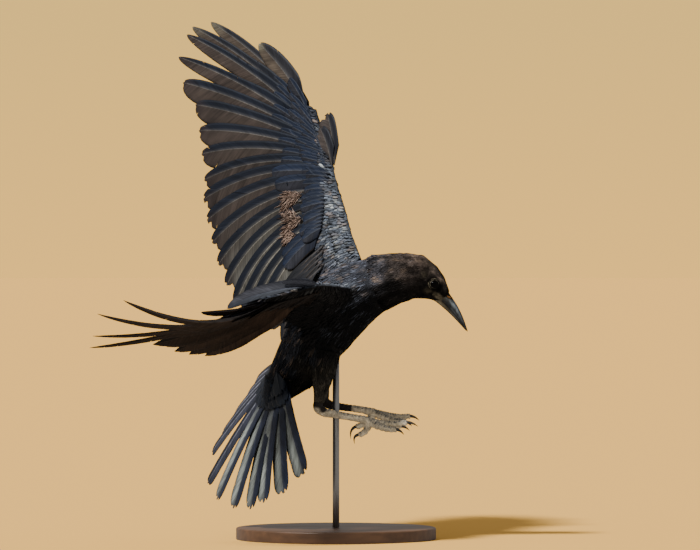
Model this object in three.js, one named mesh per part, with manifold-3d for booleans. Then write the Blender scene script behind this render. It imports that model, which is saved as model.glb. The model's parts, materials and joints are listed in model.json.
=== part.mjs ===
// A life-size crow in landing flight on a display stand. Millimetres, +Z up.
// The origin is the middle of the underside of the stand's base. +X is the way the head points and -Y is
// the bird's right side. Flesh is lofted from sections, and every flight feather is a thin curved blade.
import * as THREE from 'three';
import { mergeVertices } from 'three/addons/utils/BufferGeometryUtils.js';
import Module from 'manifold-3d';

const wasm = await Module();
wasm.setup();

// ---- Driving sizes --------------------------------------------------------------------------------
const GAP = 0.3; // clearance between pieces that touch
const BODY_SIDES = 14; // sides of a flesh section
const LEG_SIDES = 8;
const TOE_SIDES = 6;
const EYE_SIDES = { around: 10, down: 6 };
const PAD_SIDES = { around: 6, down: 4 };

const BASE = { radius: 120, height: 14, bevel: 2, sides: 24 };
const ROD = { radius: 4, x: 0, y: -6, top: 230, sides: 12 };

// The body's own directions: along the back to the head, out of the right side, and out of the back.
const RIGHT_SIDE = new THREE.Vector3(-0.006, -0.963, -0.272);
const BACK = new THREE.Vector3(-0.797, -0.16, 0.583);
const HEAD_UP = new THREE.Vector3(0.25, 0, 1);
const NECK_UP = new THREE.Vector3(-0.2, -0.05, 1);
const HEAD_Y = -20; // the head is held in profile in this plane

// Flesh sections: middle, half width, half height on the back side and on the belly side.
const TRUNK = [
  { at: [-75, 17, 163], wide: 14, up: 10, down: 9 },
  { at: [-65, 15, 183], wide: 30, up: 23, down: 23 },
  { at: [-50, 11, 203], wide: 37, up: 31, down: 33 },
  { at: [-29, 5, 234], wide: 44, up: 38, down: 38 },
  { at: [-11, 0, 262], wide: 47, up: 43, down: 43 },
  { at: [14, -8, 289], wide: 45, up: 43, down: 43 },
  { at: [31, -13, 299], wide: 40, up: 39, down: 40 },
  { at: [45, -17, 305], wide: 34, up: 35, down: 36 },
];
const NECK = [
  { at: [41, -16, 304], wide: 33, up: 35, down: 36 },
  { at: [57, -19, 309], wide: 31, up: 34, down: 34 },
  { at: [72, -20, 313], wide: 29, up: 31, down: 31 },
  { at: [86, -20, 315], wide: 26, up: 29, down: 29 },
];
const HEAD = [
  { at: [84, -20, 315], wide: 26, up: 29, down: 29 },
  { at: [100, -20, 314.4], wide: 23.5, up: 27, down: 27 },
  { at: [112, -20, 309], wide: 20.5, up: 20.5, down: 24 },
  { at: [120.5, -20, 303], wide: 17.5, up: 15, down: 20 },
  { at: [127, -20, 296], wide: 13.5, up: 9.6, down: 15 },
  { at: [132, -20, 288.5], wide: 9, up: 6.8, down: 9 },
];
const BILL_RINGS = 6;
const BILL_SIDES = 10;
const MOUTH_LINE = [[120, 290], [132, 282], [143, 270], [156, 250.5]];
const UPPER_BILL = {
  culmen: [[131, 300], [141, 291], [152, 273], [157.9, 248.6]],
  edge: MOUTH_LINE,
  wide: [7.5, 7, 6, 4.7, 3.1, 0.7],
};
const LOWER_BILL = {
  culmen: MOUTH_LINE,
  edge: [[122, 283], [131, 277], [141, 266], [153.5, 250.5]],
  wide: [6.6, 6.1, 5.2, 4, 2.5, 0.6],
};
// An eye stands `side` away from the head's middle plane.
const EYE = { x: 116.5, z: 305.8, radius: 5.6, side: 15.4 };

// Wings. A feather is set by its length, by its sweep from the hand's line towards the trailing edge, by its
// lift towards the wing's upper side, and by how far its middle bows outwards and upwards from its chord.
const WINGS = {
  left: {
    side: 1,
    upper: [-0.608, -0.76, 0.228],
    wrist: [-3, 70, 447],
    elbow: [-14, 54, 364],
    fingertip: [-27, 112, 521],
    primaries: {
      length: [193, 199, 207, 220, 247, 265, 263, 254, 224, 131],
      sweep: [63.7, 56.2, 50, 43.7, 40.3, 35.7, 30.4, 28.7, 24.8, 16.6],
      lift: [0, 0, 0, 0, 0, 0, 0, 0, 0, 0],
      bow: [13, 10, 8, 7, 8, 9, 9, 9, 8, 4],
      arch: [5, 4, 3, 2, 0, -2, -4, -5, -5, -2],
    },
    secondaries: {
      length: [195, 188, 181, 175, 169, 164, 153, 142, 131],
      sweep: [68.5, 74.2, 81.2, 88.5, 96.5, 104.4, 108.4, 112.6, 117.5],
      lift: [0, 0, 0, 0, 0, 0, 0, 0, 0],
      bow: [14, 15, 16, 17, 18, 18, 16, 14, 12],
      arch: [6, 6, 6, 6, 6, 6, 6, 6, 6],
    },
    tertials: { root: [-13, 48, 352], spread: [0, -6, -13], length: [122, 114, 104],
      sweep: [119, 122, 126], lift: [0, 1, 2], bow: 9, arch: 6 },
    arm: [
      { lead: [32, 10, 338], chord: [-60, 24, -74], thick: 20 },
      { lead: [21, 30, 366], chord: [-66, 36, -48], thick: 18 },
      { lead: [13, 44, 397], chord: [-60, 41, -24], thick: 15 },
      { lead: [3, 58, 428], chord: [-56, 40, -8], thick: 13 },
      { lead: [0, 66, 442], chord: [-56, 41, -1], thick: 12 },
    ],
    hand: [
      { lead: [0, 67, 443], chord: [-56, 41, 0], thick: 12 },
      { lead: [-4, 77, 465], chord: [-46, 34, 6], thick: 10.5 },
      { lead: [-15, 96, 496], chord: [-33, 25, 8], thick: 8.5 },
      { lead: [-23, 110, 520], chord: [-20, 15, 8], thick: 6 },
    ],
    alula: { root: [-2, 70, 450], length: [68, 54], sweep: [-13, -4], lift: [3, 5],
      bow: 4, arch: 3, spacing: 4 },
  },
  right: {
    side: -1,
    upper: [-0.2885, 0.3466, 0.8925],
    wrist: [-16, -150, 303],
    elbow: [-34, -90, 282],
    fingertip: [-81, -200, 288],
    primaries: {
      length: [179, 183, 184, 182, 175, 235, 228, 224, 200, 98],
      sweep: [70.7, 66.5, 61.8, 56.2, 46.8, 30, 17.9, 6.8, -3.3, -8.9],
      lift: [0.5, 1.8, 3, 4.5, 2.6, 1.5, 0.2, 2.5, 2.5, -7.5],
      bow: [8, 8, 8, 8, 8, 10, 9, 8, 7, 3],
      arch: [-3, -3, -4, -5, -7, -13, -17, -28, -31, -5],
    },
    secondaries: {
      length: [179, 173, 167, 161, 154, 146, 139, 132, 125],
      sweep: [73.8, 75.8, 78.1, 80, 82, 84.2, 86.6, 89.4, 93],
      lift: [0.2, 1.5, 2.9, 4.7, 7.1, 9.4, 11.9, 14.7, 17.7],
      bow: [8, 8, 8, 8, 8, 8, 8, 8, 8],
      arch: [0, 0, 0, 1, 2, 2, 3, 3, 3],
    },
    tertials: { root: [-24, -78, 300], spread: [7, 9, 0], length: [112, 104, 96],
      sweep: [50, 56, 62], lift: [9, 10, 11], bow: 6, arch: 5 },
    arm: [
      { lead: [17, -52, 303], chord: [-50, 20, -56], thick: 18 },
      { lead: [6, -84, 304], chord: [-62, 24, -44], thick: 17 },
      { lead: [-4, -114, 305], chord: [-62, 26, -32], thick: 15 },
      { lead: [-12, -142, 305.5], chord: [-56, 27, -28], thick: 13 },
      { lead: [-15, -152, 305.5], chord: [-55, 27, -27], thick: 12 },
    ],
    hand: [
      { lead: [-15.5, -153, 305.5], chord: [-55, 27, -27], thick: 12 },
      { lead: [-34, -172, 301], chord: [-45, 22, -23], thick: 10.5 },
      { lead: [-59, -190, 295], chord: [-33, 19, -18], thick: 8.5 },
      { lead: [-80, -203, 290], chord: [-19, 10, -9], thick: 6 },
    ],
    alula: { root: [-20, -156, 305], length: [58, 46], sweep: [-12, -3], lift: [2, 4],
      bow: 3, arch: 2, spacing: 4 },
  },
};
// Full widths of the vanes, and the share that a slotted primary loses towards its tip.
const VANE = { primary: 33, secondary: 37, tertial: 36, alula: 17, tail: 38, notch: 0.45 };
const SLOTTED = { first: 5, last: 8 }; // the primaries whose tips are notched into fingers
const OUTERMOST_WIDTH = 0.55; // of a primary's width
const OUTER_SHARE = 0.3; // of a vane's width, on the leading side of the shaft
const NOTCH_RUN = [0.4, 0.62]; // where along a feather the notch sets in
const TIP_FROM = 0.7; // where along a feather its tip starts to round off
// One blade: its thickness, how narrow its quill is and how far that reaches under the coverts, where the
// vane opens behind them, the bluntness of the tip and the stations along the vane.
const BLADE = { thick: 0.9, quill: 0.12, under: 0.08, open: 0.08, tip: 0.3, stations: [0.66, 0.89, 1] };
// Coverts lie over these shares of a feather's length.
const COVERTS = {
  thick: 2.6,
  from: 0.04,
  to: { primary: 0.3, secondary: 0.4, tertial: 0.5, alula: 0.5, tail: 0.3 },
};
const PRIMARY_QUILLS = { from: 0.08, to: 1 }; // along the hand, from wrist to fingertip
// The section of a wing's flesh: place along the chord and height, as shares of the chord and thickness.
const WING_SECTION = [[0, 0], [0.05, 0.26], [0.24, 0.5], [0.6, 0.36], [1, 0.07]];
const QUILL_BACK = { primary: 9, secondary: 6 }; // how far behind the bones the quills start
const TILT = 8; // degrees that a vane's leading edge is raised over its neighbour
const SECONDARY_STEP = 2.6; // how far the secondaries start above the primaries
const TERTIAL_STEP = 3.6;

// Tail feathers from the right outermost to the left outermost: length, and the direction of each.
const TAIL = {
  root: [-67, 12, 203],
  spread: 26, // half width of the row of quills
  arch: 3, // how far the middle of a feather stands off its chord
  length: [162, 167, 170, 174, 176, 178, 180, 178, 176, 173, 169, 167],
  direction: [
    [0.18, -0.63, -0.75], [0.03, -0.49, -0.87], [-0.11, -0.36, -0.92], [-0.2, -0.22, -0.95],
    [-0.32, -0.06, -0.95], [-0.43, 0.16, -0.88], [-0.5, 0.39, -0.78], [-0.48, 0.66, -0.58],
    [-0.42, 0.79, -0.46], [-0.34, 0.88, -0.33], [-0.26, 0.94, -0.21], [-0.2, 0.97, -0.11],
  ],
};
const TAIL_COVERTS = [
  { at: [-63, 15, 188], wide: 35, up: 27, down: 18 },
  { at: [-72, 17, 168], wide: 37, up: 20, down: 12 },
  { at: [-80, 19, 148], wide: 30, up: 11, down: 6 },
];

// Legs: centre lines with radii, then each toe's end and the claw that it carries.
const LEGS = {
  right: {
    thigh: [[-12, -24, 226, 21], [-15, -28, 203, 17], [-18, -30, 180, 11], [-20, -30, 163, 7.5]],
    tarsus: [
      [-21, -30, 157, 5.6], [-14, -30.5, 152.5, 5], [4, -31, 149.5, 3.7],
      [24, -31, 146, 3.7], [38, -31, 143, 4.8],
    ],
    toes: {
      middle: {
        path: [[39, -31, 142], [56, -33, 139.5], [70, -35, 139], [85, -36, 141]],
        claw: [[92, -36.5, 141], [98, -37, 136]],
      },
      outer: {
        path: [[39, -31, 142], [52, -38, 136], [63, -42, 133], [72, -44, 133]],
        claw: [[78, -45, 131.5], [81, -46, 126.5]],
      },
      inner: {
        path: [[39, -31, 142], [53, -25, 137], [66, -21, 135], [78, -19, 136]],
        claw: [[84, -18, 135.5], [88, -17.5, 130.5]],
      },
      hind: {
        path: [[39, -31, 142], [38, -31, 134], [33, -31, 128], [27, -31, 126]],
        claw: [[19.5, -31, 125], [22.5, -31, 115]],
      },
    },
  },
  left: {
    thigh: [[-16, 28, 232, 21], [-17, 26, 208, 17], [-17, 22, 186, 11], [-15, 18, 170, 7.5]],
    tarsus: [
      [-14, 17, 164, 5.6], [-7, 17, 160, 5], [10, 17, 157.5, 3.7],
      [30, 17, 155, 3.7], [45, 17, 151.5, 4.8],
    ],
    toes: {
      middle: {
        path: [[46, 17, 151], [62, 18, 148], [76, 19, 146], [89, 20, 147]],
        claw: [[96, 20.5, 146.5], [100, 21, 141.5]],
      },
      outer: {
        path: [[46, 17, 151], [59, 24, 145], [70, 28, 142], [80, 30, 142]],
        claw: [[86, 31, 140.5], [89, 32, 135.5]],
      },
      inner: {
        path: [[46, 17, 151], [60, 11, 145], [72, 7, 141.5], [82, 5, 141.5]],
        claw: [[88, 4, 140], [91, 3.5, 135]],
      },
      hind: {
        path: [[46, 17, 151], [40, 16, 141], [31, 15, 136], [24, 14.5, 134.5]],
        claw: [[15.5, 14, 131.5], [18, 14, 119]],
      },
    },
  },
};
const TOE_RADII = [4.6, 3.4, 3, 2.6];
const PAD_SWELL = 0.6; // how far the foot's pad stands out of the toes
const CLAW = { radius: 2, taper: 0.88, stations: [0, 0.35, 0.7, 1] };

const FINISH = {
  black: { color: 0x14161b, roughness: 0.7, metalness: 0 },
  wing: { color: 0x23272f, roughness: 0.55, metalness: 0 },
  tail: { color: 0x2a2e36, roughness: 0.5, metalness: 0 },
  bill: { color: 0x2b2c2c, roughness: 0.4, metalness: 0 },
  eye: { color: 0x060606, roughness: 0.05, metalness: 0 },
  leg: { color: 0xb49a70, roughness: 0.8, metalness: 0 },
  claw: { color: 0x23262a, roughness: 0.4, metalness: 0 },
  wood: { color: 0x5b3f28, roughness: 0.5, metalness: 0 },
  steel: { color: 0x9a9c9e, roughness: 0.3, metalness: 1 },
};

// ---- Helpers --------------------------------------------------------------------------------------
const vec = (p) => new THREE.Vector3(...p);
const along = (p, d, t) => p.clone().addScaledVector(d, t);
const toRadians = THREE.MathUtils.degToRad;

/** Joins flat rings of equal size into one closed body. */
function loftRings(rings) {
  const sides = rings[0].length;
  const points = rings.flat();
  const faces = [];
  for (let r = 0; r < rings.length - 1; r++) {
    for (let s = 0; s < sides; s++) {
      const a = r * sides + s;
      const b = r * sides + ((s + 1) % sides);
      faces.push(a, b, b + sides, a, b + sides, a + sides);
    }
  }
  const last = (rings.length - 1) * sides;
  for (let s = 1; s < sides - 1; s++) {
    faces.push(0, s + 1, s, last, last + s, last + s + 1);
  }
  const geometry = new THREE.BufferGeometry();
  const numbers = points.flatMap((p) => p.toArray());
  geometry.setAttribute('position', new THREE.Float32BufferAttribute(numbers, 3));
  geometry.setIndex(faces);
  return facingOut(geometry);
}

/** Turns every face over when the signed volume says that they point in. */
function facingOut(geometry) {
  const position = geometry.getAttribute('position');
  const index = geometry.getIndex().array;
  const corner = (i) => new THREE.Vector3().fromBufferAttribute(position, index[i]);
  let volume = 0;
  for (let i = 0; i < index.length; i += 3) {
    volume += corner(i).dot(corner(i + 1).cross(corner(i + 2)));
  }
  if (volume < 0) {
    for (let i = 0; i < index.length; i += 3) {
      [index[i], index[i + 1]] = [index[i + 1], index[i]];
    }
  }
  return geometry;
}

const solid = (source) => {
  const plain = source.clone();
  plain.deleteAttribute('normal');
  plain.deleteAttribute('uv');
  const merged = mergeVertices(plain, 1e-4);
  return new wasm.Manifold(new wasm.Mesh({
    numProp: 3,
    vertProperties: new Float32Array(merged.getAttribute('position').array),
    triVerts: new Uint32Array(merged.getIndex().array),
  }));
};

const geometryOf = (manifold) => {
  const mesh = manifold.getMesh();
  const geometry = new THREE.BufferGeometry();
  geometry.setAttribute('position', new THREE.BufferAttribute(mesh.vertProperties, 3));
  geometry.setIndex(new THREE.BufferAttribute(mesh.triVerts, 1));
  return geometry;
};

const joined = (solids) => solids.reduce((sum, next) => sum.add(next));
const cut = (host, tools) => tools.reduce((rest, tool) => rest.subtract(tool), host);

/** The unit tangent at each point of a chain. */
function tangents(points) {
  return points.map((_, i) => {
    const a = points[Math.max(0, i - 1)];
    const b = points[Math.min(points.length - 1, i + 1)];
    return b.clone().sub(a).normalize();
  });
}

/** A flesh loft with its back towards `back`; `grow` swells it, to cut a neighbour with a gap. */
function flesh(sections, back, grow = 0) {
  const middles = sections.map((s) => vec(s.at));
  const ahead = tangents(middles);
  const rings = sections.map((section, i) => {
    const up = along(back, ahead[i], -back.dot(ahead[i])).normalize();
    const right = ahead[i].clone().cross(up);
    const end = i === 0 ? -grow : i === sections.length - 1 ? grow : 0;
    const middle = along(middles[i], ahead[i], end);
    return Array.from({ length: BODY_SIDES }, (_, s) => {
      const turn = (2 * Math.PI * s) / BODY_SIDES;
      const high = (Math.sin(turn) > 0 ? section.up : section.down) + grow;
      return along(along(middle, right, Math.cos(turn) * (section.wide + grow)), up, Math.sin(turn) * high);
    });
  });
  return solid(loftRings(rings));
}

/** A round tube through [x, y, z, radius] stations. */
function limb(stations, sides, grow = 0) {
  const middles = stations.map((s) => vec(s));
  const ahead = tangents(middles);
  const side = new THREE.Vector3(0, 1, 0);
  const rings = stations.map((station, i) => {
    const across = along(side, ahead[i], -side.dot(ahead[i])).normalize();
    const up = ahead[i].clone().cross(across);
    return Array.from({ length: sides }, (_, s) => {
      const turn = (2 * Math.PI * s) / sides;
      const radius = station[3] + grow;
      return along(along(middles[i], across, Math.cos(turn) * radius), up, Math.sin(turn) * radius);
    });
  });
  return solid(loftRings(rings));
}

// ---- Feathers -------------------------------------------------------------------------------------
/** The share of its full width that a vane has at t along the feather, with a round tip. */
function vaneShare(t, notch) {
  const past = Math.max(0, (t - TIP_FROM) / (1 - TIP_FROM));
  const tip = Math.sqrt(Math.max(0, 1 - past ** 2));
  return Math.max(BLADE.tip, tip * (1 - notch * THREE.MathUtils.smoothstep(t, ...NOTCH_RUN)));
}

/** The bare part of one flight feather: a thin curved blade whose quill starts inside the coverts. */
function blade({ curve, upper, width, coverts, notch = 0, grow = 0, flip = 1 }) {
  const half = BLADE.thick / 2 + grow;
  const quill = { t: coverts - BLADE.under, share: BLADE.quill };
  const places = [coverts + BLADE.open, ...BLADE.stations];
  const open = places.map((t) => ({ t, share: vaneShare(t, notch) }));
  const rings = [quill, ...open].map(({ t, share }) => {
    const middle = curve.getPoint(t);
    const ahead = curve.getTangent(t);
    const flatLead = upper.clone().cross(ahead).normalize().multiplyScalar(flip);
    const flatUp = ahead.clone().cross(flatLead).normalize().multiplyScalar(flip);
    const tilt = toRadians(TILT);
    const lead = along(flatLead.clone().multiplyScalar(Math.cos(tilt)), flatUp, Math.sin(tilt));
    const up = along(flatUp.clone().multiplyScalar(Math.cos(tilt)), flatLead, -Math.sin(tilt));
    const outer = width * share * OUTER_SHARE + grow;
    const inner = width * share * (1 - OUTER_SHARE) + grow;
    return [
      along(along(middle, lead, outer), up, -half), along(along(middle, lead, outer), up, half),
      along(along(middle, lead, -inner), up, half), along(along(middle, lead, -inner), up, -half),
    ];
  });
  return solid(loftRings(rings));
}

/** The layer of coverts that lies over the first part of a row of feathers and joins them. */
function covertLayer(curves, upper, to, grow = 0) {
  const half = COVERTS.thick / 2 + grow;
  const rings = curves.map((curve) => {
    const near = curve.getPoint(COVERTS.from);
    const far = curve.getPoint(to);
    return [
      along(near, upper, -half), along(near, upper, half),
      along(far, upper, half / 2), along(far, upper, -half / 2),
    ];
  });
  return solid(loftRings(rings));
}

/** A wing's directions: out along the hand, back to the trailing edge, and out of the upper side. */
function wingFrame(wing) {
  const upper = vec(wing.upper).normalize();
  const hand = vec(wing.fingertip).sub(vec(wing.wrist));
  const out = along(hand, upper, -hand.dot(upper)).normalize();
  const back = out.clone().cross(upper).multiplyScalar(-wing.side);
  return { upper, out, back };
}

/** The centre line of feather i of a row, whose root stands at `root`. */
function shaft(wing, row, i, root) {
  const { upper, out, back } = wingFrame(wing);
  const value = (name) => (Array.isArray(row[name]) ? row[name][i] : row[name]);
  const sweep = toRadians(value('sweep'));
  const lift = toRadians(value('lift'));
  const flat = along(out.clone().multiplyScalar(Math.cos(sweep)), back, Math.sin(sweep));
  const ahead = along(flat.clone().multiplyScalar(Math.cos(lift)), upper, Math.sin(lift));
  const outward = along(out.clone().multiplyScalar(Math.sin(sweep)), back, -Math.cos(sweep));
  const tip = along(root, ahead, value('length'));
  return bowedCurve(root, tip, along(outward.multiplyScalar(value('bow')), upper, value('arch')));
}

/** A curve from root to tip whose middle stands off its chord by `bowed`. */
function bowedCurve(root, tip, bowed) {
  const control = root.clone().add(tip).multiplyScalar(0.5).addScaledVector(bowed, 2);
  return new THREE.QuadraticBezierCurve3(root, control, tip);
}

function primaries(wing, grow = 0) {
  const { upper, back } = wingFrame(wing);
  const row = wing.primaries;
  const count = row.length.length;
  const curves = row.length.map((_, i) => {
    const place = THREE.MathUtils.lerp(PRIMARY_QUILLS.from, PRIMARY_QUILLS.to, i / (count - 1));
    const bone = vec(wing.wrist).lerp(vec(wing.fingertip), place);
    return shaft(wing, row, i, along(bone, back, QUILL_BACK.primary));
  });
  const blades = curves.map((curve, i) => {
    const notch = i >= SLOTTED.first && i <= SLOTTED.last ? VANE.notch : 0;
    const width = VANE.primary * (i === count - 1 ? OUTERMOST_WIDTH : 1);
    return blade({ curve, upper, width, notch, coverts: COVERTS.to.primary, grow, flip: wing.side });
  });
  return joined([covertLayer(curves, upper, COVERTS.to.primary, grow), ...blades]);
}

function secondaries(wing) {
  const { upper, back } = wingFrame(wing);
  const row = wing.secondaries;
  const curves = row.length.map((_, i) => {
    const bone = vec(wing.wrist).lerp(vec(wing.elbow), (i + 0.5) / row.length.length);
    return shaft(wing, row, i, along(along(bone, back, QUILL_BACK.secondary), upper, SECONDARY_STEP));
  });
  const shape = { upper, width: VANE.secondary, coverts: COVERTS.to.secondary, flip: wing.side };
  const blades = curves.map((curve) => blade({ curve, ...shape }));
  return joined([covertLayer(curves, upper, COVERTS.to.secondary), ...blades]);
}

function tertials(wing, grow = 0) {
  const { upper } = wingFrame(wing);
  const row = wing.tertials;
  const curves = row.length.map((_, i) => {
    return shaft(wing, row, i, along(along(vec(row.root), vec(row.spread), i), upper, TERTIAL_STEP));
  });
  const shape = { upper, width: VANE.tertial, coverts: COVERTS.to.tertial, grow, flip: wing.side };
  const blades = curves.map((curve) => blade({ curve, ...shape }));
  return joined([covertLayer(curves, upper, COVERTS.to.tertial, grow), ...blades]);
}

function alula(wing) {
  const { upper, back } = wingFrame(wing);
  const row = wing.alula;
  const curves = row.length.map((_, i) => {
    return shaft(wing, row, i, along(vec(row.root), back, row.spacing * i));
  });
  const shape = { upper, width: VANE.alula, coverts: COVERTS.to.alula, flip: wing.side };
  const blades = curves.map((curve) => blade({ curve, ...shape }));
  return joined([covertLayer(curves, upper, COVERTS.to.alula), ...blades]);
}

/** A wing's flesh, rounded at the leading edge and thin at the trailing edge, from sections. */
function plate(wing, sections, grow = 0) {
  const { upper } = wingFrame(wing);
  const leads = sections.map((s) => vec(s.lead));
  const ahead = tangents(leads);
  const rings = sections.map((section, i) => {
    const chord = vec(section.chord);
    const reach = chord.length();
    const unit = chord.clone().normalize();
    const up = along(upper, unit, -upper.dot(unit)).normalize();
    const end = i === 0 ? -grow : i === sections.length - 1 ? grow : 0;
    const lead = along(leads[i], ahead[i], end);
    const edge = (share, high, side) => {
      const reached = share * reach + (share > 0.5 ? grow : -grow);
      return along(along(lead, unit, reached), up, side * (high * section.thick + grow));
    };
    const skin = WING_SECTION.slice(1);
    const top = skin.map(([share, high]) => edge(share, high, 1));
    const under = skin.reverse().map(([share, high]) => edge(share, high, -1));
    return [along(lead, unit, -grow), ...top, ...under];
  });
  return solid(loftRings(rings));
}

// ---- Tail -----------------------------------------------------------------------------------------
/** Half of the tail's fan, from feather `first` to before `last`, each over its outer neighbour. */
function tailFan(first, last, grow = 0) {
  const across = RIGHT_SIDE.clone().normalize();
  const count = TAIL.length.length;
  const aims = TAIL.direction.map((d) => vec(d).normalize());
  const blades = [];
  const curves = [];
  for (let i = first; i < last; i++) {
    const before = aims[Math.max(0, i - 1)];
    const after = aims[Math.min(count - 1, i + 1)];
    const upper = after.clone().sub(before).cross(aims[i]).normalize();
    if (upper.dot(BACK) < 0) {
      upper.negate();
    }
    const place = 1 - (2 * i) / (count - 1);
    const root = along(vec(TAIL.root), across, place * TAIL.spread);
    const rightSide = i < count / 2;
    const tip = along(vec(TAIL.root), aims[i], TAIL.length[i]);
    const curve = bowedCurve(root, tip, upper.clone().multiplyScalar(TAIL.arch));
    curves.push(curve);
    const flip = rightSide ? 1 : -1;
    blades.push(blade({ curve, upper, width: VANE.tail, coverts: COVERTS.to.tail, flip, grow }));
  }
  return joined([covertLayer(curves, BACK, COVERTS.to.tail, grow), ...blades]);
}

// ---- Head -----------------------------------------------------------------------------------------
/** One half of the bill, between its upper and lower outlines: cubic curves in the head's plane. */
function billHalf({ culmen, edge, wide }, grow = 0) {
  const curve = (points) => new THREE.CubicBezierCurve(...points.map((p) => new THREE.Vector2(...p)));
  const high = curve(culmen);
  const low = curve(edge);
  const rings = Array.from({ length: BILL_RINGS }, (_, i) => {
    const t = i / (BILL_RINGS - 1);
    const top = high.getPoint(t);
    const bottom = low.getPoint(t);
    const middle = top.clone().add(bottom).multiplyScalar(0.5);
    const reach = top.clone().sub(bottom).multiplyScalar(0.5);
    reach.setLength(reach.length() + grow);
    return Array.from({ length: BILL_SIDES }, (_, s) => {
      const turn = (2 * Math.PI * s) / BILL_SIDES;
      const point = middle.clone().addScaledVector(reach, Math.sin(turn));
      return new THREE.Vector3(point.x, HEAD_Y - Math.cos(turn) * (wide[i] + grow), point.y);
    });
  });
  return solid(loftRings(rings));
}

function eyeball(side, grow = 0) {
  const ball = new THREE.SphereGeometry(EYE.radius + grow, EYE_SIDES.around, EYE_SIDES.down);
  ball.translate(EYE.x, HEAD_Y + side * EYE.side, EYE.z);
  return solid(ball);
}

// ---- Legs -----------------------------------------------------------------------------------------
const toe = (path, grow = 0) => limb(path.map((p, i) => [...p, TOE_RADII[i]]), TOE_SIDES, grow);

function foot(leg) {
  const toes = Object.values(leg.toes).map(({ path }) => toe(path));
  const pad = new THREE.SphereGeometry(TOE_RADII[0] + PAD_SWELL, PAD_SIDES.around, PAD_SIDES.down);
  pad.translate(...leg.toes.middle.path[0]);
  return joined([solid(pad), ...toes]);
}

/** A claw that curves from the end of a toe down to a point. */
function claw({ path, claw: bend }) {
  const curve = new THREE.QuadraticBezierCurve3(vec(path.at(-1)), vec(bend[0]), vec(bend[1]));
  const stations = CLAW.stations.map((t) => {
    return [...curve.getPoint(t).toArray(), CLAW.radius * (1 - CLAW.taper * t)];
  });
  return cut(limb(stations, TOE_SIDES), [toe(path, GAP)]);
}

// ---- Stand ----------------------------------------------------------------------------------------
function standBase() {
  const { radius, height, bevel, sides } = BASE;
  const outline = [
    [0, 0], [radius, 0], [radius, height - bevel], [radius - bevel, height], [0, height],
  ];
  const disc = new THREE.LatheGeometry(outline.map((p) => new THREE.Vector2(...p)), sides);
  return solid(disc.rotateX(Math.PI / 2));
}

function standRod() {
  const length = ROD.top - BASE.height - GAP;
  const rod = new THREE.CylinderGeometry(ROD.radius, ROD.radius, length, ROD.sides);
  rod.rotateX(Math.PI / 2);
  rod.translate(ROD.x, ROD.y, BASE.height + GAP + length / 2);
  return solid(rod);
}

// ---- Assembly -------------------------------------------------------------------------------------
const group = new THREE.Group();

function add(name, manifold, finish) {
  const mesh = new THREE.Mesh(geometryOf(manifold), new THREE.MeshStandardMaterial(finish));
  mesh.name = name;
  group.add(mesh);
}

const trunk = flesh(TRUNK, BACK);
const trunkRoom = flesh(TRUNK, BACK, GAP);
const neckRoom = flesh(NECK, NECK_UP, GAP);
const billRoom = [billHalf(UPPER_BILL, GAP), billHalf(LOWER_BILL, GAP)];
const eyeRoom = [eyeball(1, GAP), eyeball(-1, GAP)];

add('trunk', trunk, FINISH.black);
add('neck', cut(flesh(NECK, NECK_UP), [trunkRoom]), FINISH.black);
add('head', cut(flesh(HEAD, HEAD_UP), [neckRoom, trunkRoom, ...billRoom, ...eyeRoom]), FINISH.black);
add('bill_upper', billHalf(UPPER_BILL), FINISH.bill);
add('bill_lower', cut(billHalf(LOWER_BILL), [billRoom[0]]), FINISH.bill);
add('eye_left', eyeball(1), FINISH.eye);
add('eye_right', eyeball(-1), FINISH.eye);

const covertsRoom = flesh(TAIL_COVERTS, BACK, GAP);
add('tail_coverts', cut(flesh(TAIL_COVERTS, BACK), [trunkRoom]), FINISH.black);
const half = TAIL.length.length / 2;
const tailRoom = tailFan(half, 2 * half, GAP);
add('tail_left', cut(tailFan(half, 2 * half), [trunkRoom, covertsRoom]), FINISH.tail);
add('tail_right', cut(tailFan(0, half), [trunkRoom, covertsRoom, tailRoom]), FINISH.tail);

for (const [side, wing] of Object.entries(WINGS)) {
  const armRoom = plate(wing, wing.arm, GAP);
  const handRoom = plate(wing, wing.hand, GAP);
  const primaryRoom = primaries(wing, GAP);
  const tertialRoom = tertials(wing, GAP);
  const secondaryCuts = [armRoom, handRoom, primaryRoom, trunkRoom, tertialRoom];
  add(`wing_${side}_arm`, cut(plate(wing, wing.arm), [trunkRoom, neckRoom]), FINISH.wing);
  add(`wing_${side}_hand`, cut(plate(wing, wing.hand), [armRoom]), FINISH.wing);
  add(`wing_${side}_primaries`, cut(primaries(wing), [armRoom, handRoom]), FINISH.wing);
  add(`wing_${side}_secondaries`, cut(secondaries(wing), secondaryCuts), FINISH.wing);
  add(`wing_${side}_tertials`, cut(tertials(wing), [armRoom, trunkRoom]), FINISH.wing);
  add(`wing_${side}_alula`, cut(alula(wing), [armRoom, handRoom]), FINISH.wing);
}

for (const [side, leg] of Object.entries(LEGS)) {
  const thighRoom = limb(leg.thigh, LEG_SIDES, GAP);
  const tarsusRoom = limb(leg.tarsus, TOE_SIDES, GAP);
  add(`leg_${side}_thigh`, cut(limb(leg.thigh, LEG_SIDES), [trunkRoom]), FINISH.black);
  add(`leg_${side}_tarsus`, cut(limb(leg.tarsus, TOE_SIDES), [thighRoom]), FINISH.leg);
  add(`leg_${side}_foot`, cut(foot(leg), [tarsusRoom]), FINISH.leg);
  for (const [name, shape] of Object.entries(leg.toes)) {
    add(`claw_${side}_${name}`, claw(shape), FINISH.claw);
  }
}

add('stand_base', standBase(), FINISH.wood);
add('stand_rod', cut(standRod(), [trunkRoom]), FINISH.steel);

export default group;
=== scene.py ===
"""A life-size crow in landing flight on a display stand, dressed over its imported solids.

Sizes are in millimetres, in the frame of the solids: +Z up, +X the way the head points, -Y the bird's right
side, and the origin in the middle of the underside of the stand's base. Meshes are made in metres.
"""

from __future__ import annotations

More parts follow.
